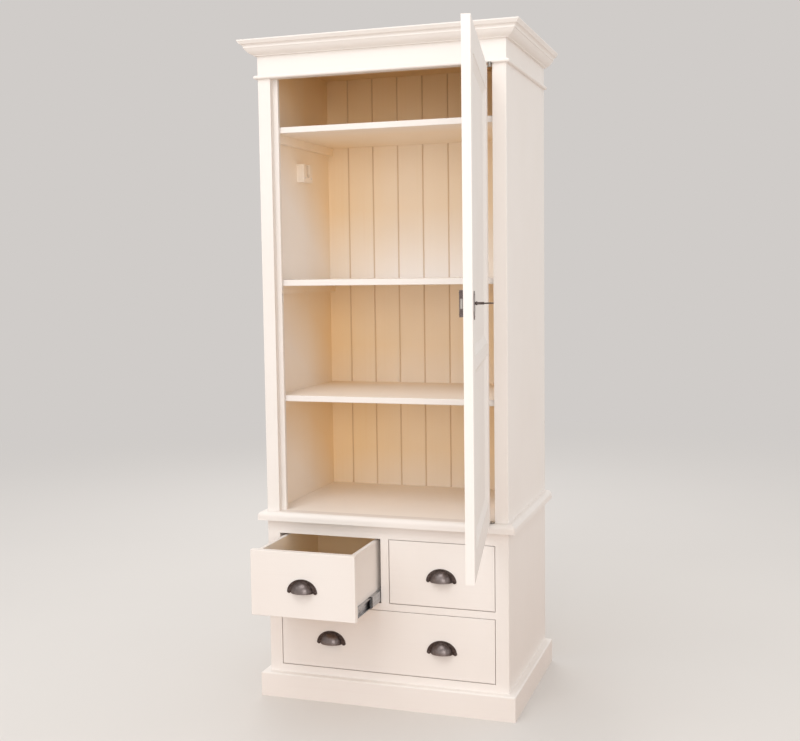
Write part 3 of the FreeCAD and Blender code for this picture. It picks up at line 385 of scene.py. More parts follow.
def sheltered(share=1.0):
    """How much painted shade, a deeper yellow tone, the paint in the case takes, from 0 to 1.

    The daylight comes in from the front and above, and the shade that it leaves is painted: most
    deep under a shelf, in the back corners, over the upper shelf and low in the case. A board with
    a smaller share takes less of this painted shade.
    """
    def amount(tree, place):
        across, along, up = add(tree, "SeparateXYZ", (place,)).outputs
        depth = add(tree, "Math", (along, SHELF_FRONT), operation="SUBTRACT")

        # The ceiling over a place is the underside of the next shelf, or of the frieze
        ceilings = [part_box(shelf)[0].z for shelf in SHELVES] + [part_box("frieze_board")[0].z]
        ceiling = ceilings[0]
        for lower, higher in zip(ceilings, ceilings[1:]):
            passed = add(tree, "Math", (up, lower + HALF_SHELF), operation="GREATER_THAN")
            step = add(tree, "Math", (passed, higher - lower), operation="MULTIPLY")
            ceiling = add(tree, "Math", (ceiling, step), operation="ADD")
        drop = add(tree, "Math", (ceiling, up), operation="SUBTRACT")
        fallen = add(tree, "Math", (depth, DAYLIGHT_FALL), operation="MULTIPLY")
        shade = add(tree, "Math", (fallen, drop), operation="SUBTRACT")
        under = add(tree, "MapRange", {
            "Value": shade, "From Min": -110 * MM, "From Max": 120 * MM, "To Max": 0.6,
        })

        from_middle = add(tree, "Math", (across,), operation="ABSOLUTE")
        aside = add(tree, "MapRange", {
            "Value": from_middle, "From Min": 100 * MM, "From Max": 340 * MM,
        })
        deep = add(tree, "MapRange", {
            "Value": depth, "From Min": 250 * MM, "From Max": 470 * MM, "To Max": 0.3,
        })
        corner = add(tree, "Math", (aside, deep), operation="MULTIPLY")

        # The loop ended with whether the place is over the upper shelf
        top = add(tree, "Math", (passed, 0.35), operation="MULTIPLY")
        low = add(tree, "MapRange", {
            "Value": up, "From Min": ceilings[0], "From Max": ceilings[1],
            "To Min": 0.2, "To Max": 0.0,
        })
        total = add(tree, "Math", (under, corner), operation="ADD")
        total = add(tree, "Math", (total, top), operation="ADD")
        total = add(tree, "Math", (total, low), operation="ADD", use_clamp=True)
        return add(tree, "Math", (total, share), operation="MULTIPLY")
    return amount


def painted_drawer_shade(front):
    """How much painted shade the paint in a drawer takes, more from its front end to its back."""
    def amount(tree, place):
        along = add(tree, "SeparateXYZ", (place,)).outputs[1]
        return add(tree, "MapRange", {
            "Value": along, "From Min": front + 20 * MM, "From Max": front + 300 * MM,
            "To Min": 0.1, "To Max": 0.85,
        })
    return amount


# ---------------------------------------------------------------- Materials

def new_finish(name, **uniform):
    """A material with one shader. What is the same all over is set on the shader's own sockets."""
    material = bpy.data.materials.new(name)
    material.use_nodes = True
    tree = material.node_tree
    shader = tree.nodes["Principled BSDF"]
    feed(tree, shader, {socket.replace("_", " "): value for socket, value in uniform.items()})
    return material, tree, shader


def satin_paint(name, colours, grain, turn=0.0, hollow=None, shelter=None, joints=False):
    """Solid pine under two coats of satin enamel, rolled and laid off with a brush.

    The eye gets an even cream with a soft sheen, faint long ripples of grain under the film, and
    broad patches that are a little deeper. The real ripples are 1 to 2 mm apart, too fine to
    show, so they are drawn 8 mm apart and very shallow. In a hollow the paint is made paler, as
    painted light, and takes as much painted shade, a deeper yellow tone, as the shade amount
    says. The back boards get painted shade along their joints.
    """
    material, tree, shader = new_finish(name, Coat_Weight=0.05, Coat_Roughness=0.4)
    place = place_on(tree, turn)
    straight = place_on(tree) if turn else place
    ripples = stretched_noise(tree, place, along_grain(grain, across=8, along=420), detail=4.0)
    patches = stretched_noise(tree, straight, (260, 260, 340), detail=2.0)
    strokes = stretched_noise(tree, place, along_grain(grain, across=3, along=120), detail=2.0)
    base = colours.paint
    # In a hollow the paint is made paler, as painted light, and blended towards painted shade
    if hollow:
        case_light_and_shade = add(tree, "Mix", {
            AMOUNT: shelter(tree, straight), FIRST: colours.paint_case,
            SECOND: colours.paint_inside,
        }, data_type="RGBA")
        base = add(tree, "Mix", {
            AMOUNT: inside(tree, straight, *hollow), FIRST: base, SECOND: case_light_and_shade,
        }, data_type="RGBA")

    deeper = add(tree, "HueSaturation", {"Saturation": 1.18, "Value": 0.965, "Color": base})
    for pattern, low, high, most in ((patches, 0.38, 0.68, 0.55), (ripples, 0.52, 0.74, 0.35)):
        deep = add(tree, "MapRange", {
            "Value": pattern, "From Min": low, "From Max": high, "To Max": most,
        })
        base = add(tree, "Mix", {AMOUNT: deep, FIRST: base, SECOND: deeper}, data_type="RGBA")
    shallow = add(tree, "Math", (strokes, 0.25), operation="MULTIPLY")
    height = add(tree, "Math", (ripples, shallow), operation="ADD")

    if joints:
        # Painted shade along the joints. Boards counted from the first joint, and how far the
        # nearest joint is from there
        across = add(tree, "SeparateXYZ", (straight,)).outputs[0]
        across = add(tree, "Math", (across, FIRST_BACK_JOINT), operation="SUBTRACT")
        boards = add(tree, "Math", (across, BACK_BOARD), operation="DIVIDE")
        nearest = add(tree, "Math", (boards,), operation="ROUND")
        away = add(tree, "Math", (boards, nearest), operation="SUBTRACT")
        away = add(tree, "Math", (away,), operation="ABSOLUTE")
        joint_shading = add(tree, "MapRange", {
            "Value": away, "From Min": 1.2 * MM / BACK_BOARD, "From Max": 3.6 * MM / BACK_BOARD,
            "To Min": 0.5, "To Max": 0.0,
        })
        base = add(tree, "Mix", {
            AMOUNT: joint_shading, FIRST: base, SECOND: colours.paint_joint,
        }, data_type="RGBA")

    sheen = add(tree, "MapRange", {
        "Value": strokes, "From Min": 0.3, "From Max": 0.7, "To Min": 0.50, "To Max": 0.60,
    })
    bump = add(tree, "Bump", {"Strength": 0.25, "Distance": 0.25 * MM, "Height": height})
    feed(tree, shader, {"Base Color": base, "Roughness": sheen, "Normal": bump})
    return material


def planed_pine(name, colours, grain):
    """Solid pine, planed and given a thin clear lacquer, on the boards that the drawers hide.

    The eye gets golden growth lines that wander along the board, and a soft shine. The lines are
    6 to 10 mm apart, as on a sawn board, with fine fibres between them.
    """
    material, tree, shader = new_finish(name, Coat_Weight=0.25, Coat_Roughness=0.3)
    place = place_on(tree)
    drift = stretched_noise(tree, place, along_grain(grain, across=45, along=700), detail=2.0)
    fibres = stretched_noise(tree, place, along_grain(grain, across=1.2, along=60), detail=3.0)
    # The drift from its lowest to its highest crosses 34 lines
    bands = add(tree, "Math", (drift, 34.0), operation="MULTIPLY")
    bands = add(tree, "Math", (bands,), operation="FRACT")
    line = add(tree, "MapRange", {"Value": bands, "From Min": 0.45, "From Max": 0.98})
    line = add(tree, "Math", (line, 0.7), operation="MULTIPLY")
    fine = add(tree, "Math", (fibres, 0.3), operation="MULTIPLY")
    tone = add(tree, "Math", (line, fine), operation="ADD")
    base = add(tree, "Mix", {
        AMOUNT: tone, FIRST: colours.pine, SECOND: colours.pine_line,
    }, data_type="RGBA")
    roughness = add(tree, "MapRange", {"Value": tone, "To Min": 0.42, "To Max": 0.55})
    bump = add(tree, "Bump", {"Strength": 0.2, "Distance": 0.2 * MM, "Height": tone})
    feed(tree, shader, {"Base Color": base, "Roughness": roughness, "Normal": bump})
    return material


def birch_ply(name, colours):
    """Thin birch plywood, rotary cut and left bare.

    The eye gets a pale, dry face with wide wandering bands, 20 to 40 mm apart.
    """
    material, tree, shader = new_finish(name)
    place = place_on(tree)
    bands = stretched_noise(tree, place, (30, 500, 30), detail=3.0, distortion=1.2)
    fibres = stretched_noise(tree, place, (1.5, 50, 1.5), detail=2.0)
    broad = add(tree, "Math", (bands, 0.7), operation="MULTIPLY")
    fine = add(tree, "Math", (fibres, 0.3), operation="MULTIPLY")
    tone = add(tree, "Math", (broad, fine), operation="ADD")
    tone = add(tree, "MapRange", {
        "Value": tone, "From Min": 0.35, "From Max": 0.75, "To Max": 0.6,
    })
    base = add(tree, "Mix", {
        AMOUNT: tone, FIRST: colours.ply, SECOND: colours.pine_line,
    }, data_type="RGBA")
    roughness = add(tree, "MapRange", {
        "Value": fibres, "From Min": 0.3, "From Max": 0.7, "To Min": 0.6, "To Max": 0.72,
    })
    feed(tree, shader, {"Base Color": base, "Roughness": roughness})
    return material


def browned_iron(name, colours, worn=0.3, crown=None):
    """Cast iron, tumbled and browned, then waxed.

    The eye gets a nearly black brown with a soft broad shine, a fine cast skin, and paler metal
    in clouds, as much as the piece asks for. The crown of a cup, which begins and ends that far
    in front of the drawer's face, is paler still: rubbed by fingers, and with a painted
    highlight. The skin's real pits are 0.3 mm, drawn 1.5 mm so that they show.
    """
    material, tree, shader = new_finish(name, Metallic=0.85)
    place = place_on(tree)
    skin = stretched_noise(tree, place, (1.5, 1.5, 1.5), detail=4.0)
    clouds = stretched_noise(tree, place, (9, 9, 7), detail=3.0)
    rubbed = add(tree, "MapRange", {
        "Value": clouds, "From Min": 0.42, "From Max": 0.72, "To Min": worn - 0.25, "To Max": worn,
    })
    if crown:
        # The crown of a cup is paler: rubbed wear, and a painted highlight
        # The left drawer is drawn pulled out, and its pull counts as if it were closed. The
        # millimetre keeps the back of a closed pull from counting as one pull-out further back.
        along = add(tree, "SeparateXYZ", (place,)).outputs[1]
        forward = add(tree, "Math", (FACE, along), operation="SUBTRACT")
        forward = add(tree, "Math", (forward, 1 * MM), operation="ADD")
        forward = add(tree, "Math", (forward, LEFT_DRAWER_OUT), operation="FLOORED_MODULO")
        bright = add(tree, "MapRange", {
            "Value": forward, "From Min": crown[0], "From Max": crown[1], "To Max": 0.6,
        })
        rubbed = add(tree, "Math", (rubbed, bright), operation="ADD", use_clamp=True)
    base = add(tree, "Mix", {
        AMOUNT: rubbed, FIRST: colours.iron, SECOND: colours.iron_rubbed_and_lit,
    }, data_type="RGBA")
    roughness = add(tree, "MapRange", {
        "Value": skin, "From Min": 0.3, "From Max": 0.7, "To Min": 0.28, "To Max": 0.4,
    })
    bump = add(tree, "Bump", {"Strength": 0.2, "Distance": 0.15 * MM, "Height": skin})
    feed(tree, shader, {"Base Color": base, "Roughness": roughness, "Normal": bump})
    return material


def zinc_plated_steel(name, colours):
    """Cold-rolled steel with bright zinc, drawn through rollers.

    The eye gets a cool bright metal with fine lines along its length and cloudy patches.
    """
    material, tree, shader = new_finish(name, Metallic=1.0)
    place = place_on(tree)
    clouds = stretched_noise(tree, place, (14, 22, 14), detail=3.0)
    lines = stretched_noise(tree, place, (1.2, 90, 1.2), detail=2.0)
    dull = add(tree, "HueSaturation", {"Value": 0.72, "Color": colours.zinc})
    cloudy = add(tree, "MapRange", {
        "Value": clouds, "From Min": 0.35, "From Max": 0.7, "To Max": 0.8,
    })
    base = add(tree, "Mix", {
        AMOUNT: cloudy, FIRST: colours.zinc, SECOND: dull,
    }, data_type="RGBA")
    roughness = add(tree, "MapRange", {
        "Value": lines, "From Min": 0.3, "From Max": 0.7, "To Min": 0.24, "To Max": 0.42,
    })
    bump = add(tree, "Bump", {"Strength": 0.15, "Distance": 0.1 * MM, "Height": lines})
    feed(tree, shader, {"Base Color": base, "Roughness": roughness, "Normal": bump})
    return material


def moulded_nylon(name, colours):
    """Black nylon, injection moulded in a spark-eroded tool.

    The eye gets a dull black with a very fine even grain, drawn 0.8 mm so that it shows.
    """
    material, tree, shader = new_finish(name)
    grain = stretched_noise(tree, place_on(tree), (0.8, 0.8, 0.8), detail=2.0)
    paler = add(tree, "HueSaturation", {"Value": 1.6, "Color": colours.stop})
    raised = add(tree, "MapRange", {
        "Value": grain, "From Min": 0.4, "From Max": 0.8, "To Max": 0.5,
    })
    base = add(tree, "Mix", {
        AMOUNT: raised, FIRST: colours.stop, SECOND: paler,
    }, data_type="RGBA")
    roughness = add(tree, "MapRange", {
        "Value": grain, "From Min": 0.3, "From Max": 0.7, "To Min": 0.45, "To Max": 0.6,
    })
    bump = add(tree, "Bump", {"Strength": 0.2, "Distance": 0.05 * MM, "Height": grain})
    feed(tree, shader, {"Base Color": base, "Roughness": roughness, "Normal": bump})
    return material


def filed_steel(name, colours):
    """Mild steel bar, filed square and dulled by handling.

    The eye gets a soft grey metal with file lines across it, 0.8 mm apart, and darker clouds.
    """
    material, tree, shader = new_finish(name, Metallic=1.0)
    place = place_on(tree)
    clouds = stretched_noise(tree, place, (6, 6, 6), detail=3.0)
    lines = stretched_noise(tree, place, (20, 20, 0.8), detail=2.0)
    dull = add(tree, "HueSaturation", {"Value": 0.72, "Color": colours.bolt})
    cloudy = add(tree, "MapRange", {"Value": clouds, "From Min": 0.35, "From Max": 0.7})
    base = add(tree, "Mix", {
        AMOUNT: cloudy, FIRST: colours.bolt, SECOND: dull,
    }, data_type="RGBA")
    roughness = add(tree, "MapRange", {
        "Value": lines, "From Min": 0.3, "From Max": 0.7, "To Min": 0.32, "To Max": 0.5,
    })
    feed(tree, shader, {"Base Color": base, "Roughness": roughness})
    return material


def pale_floor(name, colours):
    """A plain matt floor, which fades into the backdrop far from the wardrobe.

    The eye gets it pale, with very faint broad patches. The wardrobe gets its browner bounce.
    """
    material, tree, shader = new_finish(name, Roughness=0.75, Specular_IOR_Level=0.2)
    shade = stretched_noise(tree, place_on(tree), (900, 900, 900), detail=2.0)
    darker = add(tree, "HueSaturation", {"Value": 0.97, "Color": colours.floor})
    seen = add(tree, "Mix", {
        AMOUNT: shade, FIRST: colours.floor, SECOND: darker,
    }, data_type="RGBA")
    to_camera = add(tree, "LightPath").outputs["Is Camera Ray"]
    away = add(tree, "VectorMath", (place_on(tree),), operation="LENGTH")
    paling = add(tree, "MapRange", {
        "Value": away, "From Min": BOUNCE_START, "From Max": BOUNCE_END,
    })
    bounce = add(tree, "Mix", {
        AMOUNT: paling, FIRST: colours.floor_bounce, SECOND: colours.floor,
    }, data_type="RGBA")
    base = add(tree, "Mix", {AMOUNT: to_camera, FIRST: bounce, SECOND: seen}, data_type="RGBA")
    feed(tree, shader, {"Base Color": base})
    haze = add(tree, "MapRange", {"Value": away, "From Min": HAZE_START, "From Max": HAZE_END})
    haze = add(tree, "Math", (haze, to_camera), operation="MULTIPLY")
    backdrop = add(tree, "Emission", {"Color": colours.backdrop, "Strength": 1.0})
    surface = add(tree, "MixShader", (haze, shader, backdrop))
    feed(tree, tree.nodes["Material Output"], {"Surface": surface})
    return material


def finish(name, maker, *settings, **options):
    """The material of that name, made the first time that it is asked for."""
    made = bpy.data.materials.get(name)
    return made or maker(name, *settings, **options)


def dress(node, material):
    """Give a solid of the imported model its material."""
    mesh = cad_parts[node].data
    mesh.materials.clear()
    mesh.materials.append(material)


def steel(context):
    """The plated steel of the runners and of their screws and the back's."""
    return finish("zinc_plated_steel", zinc_plated_steel, context.scene.wardrobe_colours)


def iron(context):
    """The browned iron of the lock, its key and the screws beside it and in the pulls."""
    return finish("browned_iron", browned_iron, context.scene.wardrobe_colours)


# ---------------------------------------------------------------- Stage

def lay_floor(scene, colours):
    """Lay the wide floor on which the wardrobe stands."""
    bm = bmesh.new()
    bmesh.ops.create_circle(bm, cap_ends=True, radius=FLOOR_RADIUS, segments=96)
    mesh = bpy.data.meshes.new("floor")
    bm.to_mesh(mesh)
    bm.free()
    floor = bpy.data.objects.new("floor", mesh)
    scene.collection.objects.link(floor)
    mesh.materials.append(finish("pale_floor", pale_floor, colours))


def fill_room(scene, colours):
    """Light the wardrobe evenly from all round, and put the backdrop behind it."""
    scene.world = bpy.data.worlds.new("soft_room")
    scene.world.use_nodes = True
    tree = scene.world.node_tree
    light = tree.nodes["Background"]
    feed(tree, light, {"Color": linear("#FFFFFF"), "Strength": ROOM_LIGHT})
    backdrop = add(tree, "Background", {"Color": colours.backdrop, "Strength": 1.0})
    path = add(tree, "LightPath").outputs
    shown = add(tree, "Math", (path["Is Camera Ray"], path["Is Glossy Ray"]), operation="MAXIMUM")
    shown = add(tree, "Math", (shown, path["Is Transmission Ray"]), operation="MAXIMUM")
    surface = add(tree, "MixShader", (shown, light, backdrop))
    feed(tree, tree.nodes["World Output"], {"Surface": surface})


def hang_lamps(scene):
    """Hang the soft round lamps and aim them at the middle of the wardrobe."""
    for name, place, breadth, power in LAMPS:
        lamp = bpy.data.lights.new(name, "AREA")
        lamp.shape, lamp.size, lamp.energy = "DISK", breadth, power
        hung = bpy.data.objects.new(name, lamp)
        aim = (LAMPS_AIM - Vector(place)).to_track_quat("-Z", "Y").to_matrix().to_4x4()
        hung.matrix_world = Matrix.Translation(place) @ aim
        scene.collection.objects.link(hung)


def place_camera(scene):
    """Stand the camera where the photograph was taken."""
    forward = Vector((
        -math.sin(CAMERA_YAW) * math.cos(CAMERA_PITCH),
        math.cos(CAMERA_YAW) * math.cos(CAMERA_PITCH),
        math.sin(CAMERA_PITCH),
    ))
    level = Vector((math.cos(CAMERA_YAW), math.sin(CAMERA_YAW), 0))
    above = level.cross(forward)
    right = level * math.cos(CAMERA_ROLL) + above * math.sin(CAMERA_ROLL)
    up = above * math.cos(CAMERA_ROLL) - level * math.sin(CAMERA_ROLL)
    data = bpy.data.cameras.new("photograph_camera")
    data.sensor_fit, data.sensor_width, data.lens = "HORIZONTAL", SENSOR, CAMERA_LENS
    camera = bpy.data.objects.new("photograph_camera", data)
    turn = Matrix((right, up, -forward)).transposed().to_4x4()
    camera.matrix_world = Matrix.Translation(CAMERA_PLACE) @ turn
    scene.collection.objects.link(camera)
    scene.camera = camera


# ---------------------------------------------------------------- Operators

class WARDROBE_OT_stage(bpy.types.Operator):
    """Set the pale floor, the soft lamps and the photograph's camera"""
    bl_idname = "wardrobe.stage"
    bl_label = "Stage"

    def execute(self, context):
        colours = context.scene.wardrobe_colours
        lay_floor(context.scene, colours)
        fill_room(context.scene, colours)
        hang_lamps(context.scene)
        place_camera(context.scene)
        context.scene.view_settings.view_transform = "Standard"
        return {"FINISHED"}


class WARDROBE_OT_paint_carcass(bpy.types.Operator):
    """Paint the base, the cupboard's case and its mouldings"""
    bl_idname = "wardrobe.paint_carcass"
    bl_label = "Paint the carcass"

    def execute(self, context):
        colours = context.scene.wardrobe_colours
        for grain, boards in (
            ("Z", UPRIGHT_BOARDS), ("X", BOARDS_ACROSS), ("Y", BOARDS_FRONT_TO_BACK),
        ):
            for board in boards:
                if board in LIT_AND_SHADED_BOARDS:
                    # These boards take painted light and painted shade on their faces in the case
                    dress(board, finish(
                        f"yellowed_paint_along_{grain}", satin_paint, colours, grain,
                        hollow=CASE_HOLLOW, shelter=sheltered(),
                    ))
                elif board in SHELVES:
                    # The shelves take painted light and painted shade behind their front edges
                    dress(board, finish(
                        "yellowed_paint_on_shelves", satin_paint, colours, grain,
                        hollow=SHELF_HOLLOW, shelter=sheltered(),
                    ))
                else:
                    dress(board, finish(
                        f"satin_paint_along_{grain}", satin_paint, colours, grain,
                    ))
        # The waist board takes painted light, and a smaller share of painted shade
        dress("waist_board", finish(
            "yellowed_paint_on_waist", satin_paint, colours, "X",
            hollow=CASE_HOLLOW, shelter=sheltered(WAIST_SHADE_SHARE),
        ))
        # The back boards take painted light, painted shade, and painted shade along their joints
        dress("back_boards", finish(
            "satin_paint_matched_boards", satin_paint, colours, "Z",
            hollow=CASE_HOLLOW, shelter=sheltered(), joints=True,
        ))
        return {"FINISHED"}


class WARDROBE_OT_finish_hidden_boards(bpy.types.Operator):
    """Finish the boards that the drawers hide: floor, bearer, back and packers"""
    bl_idname = "wardrobe.finish_hidden_boards"
    bl_label = "Finish the hidden boards"

    def execute(self, context):
        colours = context.scene.wardrobe_colours
        for board in HIDDEN_BOARDS:
            grain = "Y" if board == "runner_packers" else "X"
            dress(board, finish(f"planed_pine_along_{grain}", planed_pine, colours, grain))
        return {"FINISHED"}


class WARDROBE_OT_paint_door(bpy.types.Operator):
    """Paint the door's frame and its panels"""
    bl_idname = "wardrobe.paint_door"
    bl_label = "Paint the door"

    def execute(self, context):
        colours = context.scene.wardrobe_colours
        upright = finish("satin_paint_door_upright", satin_paint, colours, "Z")
        across = finish("satin_paint_door_across", satin_paint, colours, "X", turn=-DOOR_TURN)
        for board in UPRIGHT_DOOR_PIECES:
            dress(board, upright)
        for board in DOOR_PIECES_ACROSS:
            dress(board, across)
        return {"FINISHED"}


class WARDROBE_OT_finish_drawers(bpy.types.Operator):
    """Paint the drawers' fronts and boxes, and leave their plywood floors bare"""
    bl_idname = "wardrobe.finish_drawers"
    bl_label = "Finish the drawers"

    def execute(self, context):
        colours = context.scene.wardrobe_colours
        # The hollow with painted light and painted shade leaves out the box's outer sides, its top
        # edges and its underside
        margin = Vector((0.5 * MM, -0.5 * MM, 0.5 * MM))
        for drawer in DRAWERS:
            low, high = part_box(f"{drawer}_drawer_box")
            dress(f"{drawer}_drawer_front", finish(
                "satin_paint_drawer_front", satin_paint, colours, "X",
            ))
            dress(f"{drawer}_drawer_box", finish(
                f"satin_paint_{drawer}_box", satin_paint, colours, "Y",
                hollow=(low + margin, high - margin), shelter=painted_drawer_shade(low.y),
            ))
            dress(f"{drawer}_drawer_floor", finish("birch_ply", birch_ply, colours))
        return {"FINISHED"}


class WARDROBE_OT_finish_ironwork(bpy.types.Operator):
    """Brown the iron pulls, the lock, its plate and its key, and file its bolt"""
    bl_idname = "wardrobe.finish_ironwork"
    bl_label = "Finish the ironwork"

    def execute(self, context):
        colours = context.scene.wardrobe_colours
        low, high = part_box("right_drawer_pull")
        reach = high.y - low.y
        cup = finish(
            "browned_iron_cup", browned_iron, colours,
            crown=(CROWN_START * reach, CROWN_END * reach),
        )
        for drawer in DRAWERS:
            dress(f"{drawer}_drawer_pull", cup)
        for piece in ("lock_case", "key"):
            dress(piece, iron(context))
        # The plate is made paler all over than the lock and the key
        dress("escutcheon", finish("browned_iron_plate", browned_iron, colours, worn=1.0))
        dress("lock_bolt", finish("filed_steel", filed_steel, colours))
        return {"FINISHED"}


class WARDROBE_OT_finish_steelwork(bpy.types.Operator):
    """Plate the runners with zinc, and leave the door's pivots dull"""
    bl_idname = "wardrobe.finish_steelwork"
    bl_label = "Finish the steelwork"

    def execute(self, context):
        dress("fixed_rails", steel(context))
        dull = finish("filed_steel", filed_steel, context.scene.wardrobe_colours)
        for piece in ("pivot_plates", "door_pivot_leaves"):
            dress(piece, dull)
        for drawer in DRAWERS:
            for member in ("inner", "middle"):
                dress(f"{drawer}_drawer_{member}_rails", steel(context))
        return {"FINISHED"}


class WARDROBE_OT_pull_screws(bpy.types.Operator):
    """Put a round-headed screw in each ear of the cup pulls"""
    bl_idname = "wardrobe.pull_screws"
    bl_label = "Screws of the pulls"

    def execute(self, context):
        sizes = context.scene.wardrobe_sizes
        low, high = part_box("right_drawer_pull")
        width = high.x - low.x
        for drawer, body in BODY_OF_DRAWER.items():
            # The large drawer's node holds two pulls, one at each end of its box
            low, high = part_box(f"{drawer}_drawer_pull")
            lefts = {round(low.x, 5), round(high.x - width, 5)}
            ear = PULL_EAR / 2
            places = [
                ((x, high.y - PULL_EAR_THICKNESS, low.z + ear), (0, -1, 0))
                for left in sorted(lefts) for x in (left + ear, left + width - ear)
            ]
            screws(f"{drawer}_drawer_pull_screws", places, body, iron(context),
                   sizes.pull_screw)
        return {"FINISHED"}


class WARDROBE_OT_lock_screws(bpy.types.Operator):
    """Screw the lock to the door's inner face, and the keyhole plate to its outer face"""
    bl_idname = "wardrobe.lock_screws"
    bl_label = "Screws of the lock"

    def execute(self, context):
        sizes = context.scene.wardrobe_sizes
        inner, outer = turned_with_door((0, 1, 0)), turned_with_door((0, -1, 0))
        case = [
            (on_open_door((x, LOCK_FACE, z)), inner)
            for x in LOCK_SCREWS_X for z in LOCK_SCREWS_Z
        ]
        plate = [
            (on_open_door((KEY_X, FACE - PLATE_THICKNESS, KEY_Z + over)), outer)
            for over in PLATE_SCREWS_OVER_KEY
        ]
        screws("lock_case_screws", case, "door", iron(context), sizes.lock_screw)
        screws("escutcheon_screws", plate, "door", iron(context),
               sizes.lock_screw * PLATE_SCREW_SHARE)
        return {"FINISHED"}


class WARDROBE_OT_socket_screws(bpy.types.Operator):
    """Screw the hanging rail's sockets to the cupboard's sides"""
    bl_idname = "wardrobe.socket_screws"
    bl_label = "Screws of the rail sockets"

    def execute(self, context):
        sizes = context.scene.wardrobe_sizes
        low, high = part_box("rail_sockets")
        places = [
            ((side * (high.x - SOCKET_THICKNESS), y, low.z + SOCKET_SCREW_UP), (-side, 0, 0))
            for side in (-1, 1) for y in SOCKET_SCREWS_Y
        ]
        painted = finish("satin_paint_along_X", satin_paint, context.scene.wardrobe_colours, "X")
        screws("socket_screws", places, "carcass", painted,
               sizes.socket_screw, crossed=True)
        return {"FINISHED"}


class WARDROBE_OT_back_screws(bpy.types.Operator):
    """Screw the back boards to the case, and the base's back to its sides"""
    bl_idname = "wardrobe.back_screws"
    bl_label = "Screws of the back"

    def execute(self, context):
        sizes = context.scene.wardrobe_sizes
        low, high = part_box("back_boards")
        joints = [FIRST_BACK_JOINT + BACK_BOARD * n for n in range(BACK_JOINTS)]
        edges = [low.x] + joints + [high.x]
        gaps = sizes.back_screw_rows - 1
        bottom, top = low.z + BACK_SCREW_EDGE, high.z - BACK_SCREW_EDGE
        heights = [bottom + (top - bottom) * n / gaps for n in range(gaps + 1)]
        places = [
            (((left + right) / 2, BACK_FACE, z), (0, 1, 0))
            for left, right in zip(edges, edges[1:]) for z in heights
        ]
        screws("back_board_screws", places, "carcass", steel(context),
               sizes.back_screw, crossed=True)
        low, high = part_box("base_back_panel")
        rows = (
            low.z + BASE_BACK_EDGE_LOW, (low.z + high.z) / 2, high.z - BASE_BACK_EDGE_HIGH,
        )
        columns = (
            low.x + BASE_BACK_EDGE_X, low.x / 2, high.x / 2, high.x - BASE_BACK_EDGE_X,
        )
        places = [((x, high.y, z), (0, 1, 0)) for z in rows for x in columns]
        screws("base_back_screws", places, "carcass", steel(context),
               sizes.back_screw, crossed=True)
        return {"FINISHED"}


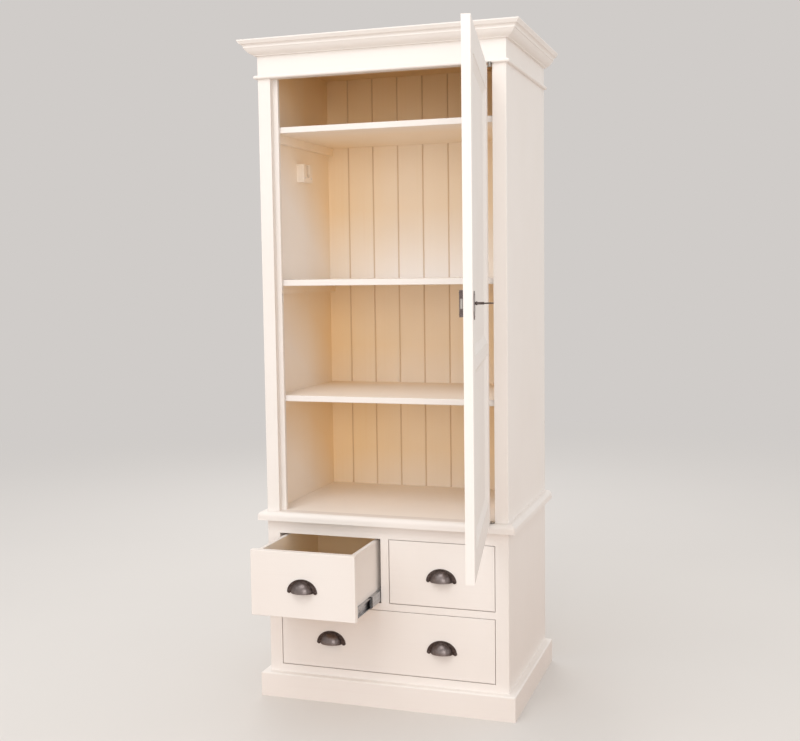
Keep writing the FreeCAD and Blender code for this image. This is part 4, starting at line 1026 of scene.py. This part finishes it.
class WARDROBE_OT_runner_stops(bpy.types.Operator):
    """Cap the front ends of the runners with their black stops, and screw the inner members on"""
    bl_idname = "wardrobe.runner_stops"
    bl_label = "Stops of the runners"

    def execute(self, context):
        colours, sizes = context.scene.wardrobe_colours, context.scene.wardrobe_sizes
        nylon = finish("moulded_nylon", moulded_nylon, colours)
        for drawer, body in BODY_OF_DRAWER.items():
            bm = bmesh.new()
            low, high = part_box(f"{drawer}_drawer_middle_rails")
            front, back = low.y - CAP_LEAD, low.y + sizes.stop_length
            for web, inwards in ((low.x, 1), (high.x, -1)):
                # A cap that hugs the outside of the channel
                outside = web - CAP_SKIN * inwards
                near, far = sorted((outside, web + CHANNEL_DEPTH * inwards))
                for z in (low.z - CAP_SKIN, high.z):
                    block(bm, (near, front, z), (far, back, z + CAP_SKIN), CAP_EDGE, 1)
                near, far = sorted((outside, web - CAP_GAP * inwards))
                block(bm, (near, front, low.z - CAP_SKIN), (far, back, high.z + CAP_SKIN),
                      CAP_EDGE, 1)
                # A buffer inside it
                near, far = sorted((web + RAIL_SHEET * inwards, web + BUFFER_DEPTH * inwards))
                block(bm, (near, front, low.z + BUFFER_MARGIN),
                      (far, back, high.z - BUFFER_MARGIN), BUFFER_EDGE, 3)
            as_piece(f"{drawer}_drawer_runner_stops", bm, f"{body}_rails", nylon)

            low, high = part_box(f"{drawer}_drawer_inner_rails")
            box_low, box_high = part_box(f"{drawer}_drawer_box")
            places = [
                ((x, low.y + along, (low.z + high.z) / 2), (direction, 0, 0))
                for x, direction in ((box_low.x - RAIL_SHEET, -1), (box_high.x + RAIL_SHEET, 1))
                for along in RAIL_SCREWS_ALONG
            ]
            screws(f"{drawer}_drawer_rail_screws", places, body, steel(context),
                   sizes.rail_screw, crossed=True)
        return {"FINISHED"}


STEPS = (
    WARDROBE_OT_stage,
    WARDROBE_OT_paint_carcass,
    WARDROBE_OT_finish_hidden_boards,
    WARDROBE_OT_paint_door,
    WARDROBE_OT_finish_drawers,
    WARDROBE_OT_finish_ironwork,
    WARDROBE_OT_finish_steelwork,
    WARDROBE_OT_pull_screws,
    WARDROBE_OT_lock_screws,
    WARDROBE_OT_socket_screws,
    WARDROBE_OT_back_screws,
    WARDROBE_OT_runner_stops,
)


class WARDROBE_PT_panel(bpy.types.Panel):
    """Every step that dresses the wardrobe, and what may be changed"""
    bl_idname = "WARDROBE_PT_panel"
    bl_label = "Wardrobe"
    bl_space_type = "VIEW_3D"
    bl_region_type = "UI"
    bl_category = "Wardrobe"

    def draw(self, context):
        for step in STEPS:
            self.layout.operator(step.bl_idname)
        for group in (context.scene.wardrobe_colours, context.scene.wardrobe_sizes):
            column = self.layout.column()
            for prop in group.bl_rna.properties:
                if prop.identifier not in ("name", "rna_type"):
                    column.prop(group, prop.identifier)


CLASSES = (WardrobeColours, WardrobeSizes, WARDROBE_PT_panel) + STEPS


def register():
    for item in CLASSES:
        bpy.utils.register_class(item)
    bpy.types.Scene.wardrobe_colours = PointerProperty(type=WardrobeColours)
    bpy.types.Scene.wardrobe_sizes = PointerProperty(type=WardrobeSizes)


def unregister():
    del bpy.types.Scene.wardrobe_sizes
    del bpy.types.Scene.wardrobe_colours
    for item in reversed(CLASSES):
        bpy.utils.unregister_class(item)


def main():
    register()
    for step in STEPS:
        family, name = step.bl_idname.split(".")
        getattr(getattr(bpy.ops, family), name)()


if __name__ == "__main__":
    main()
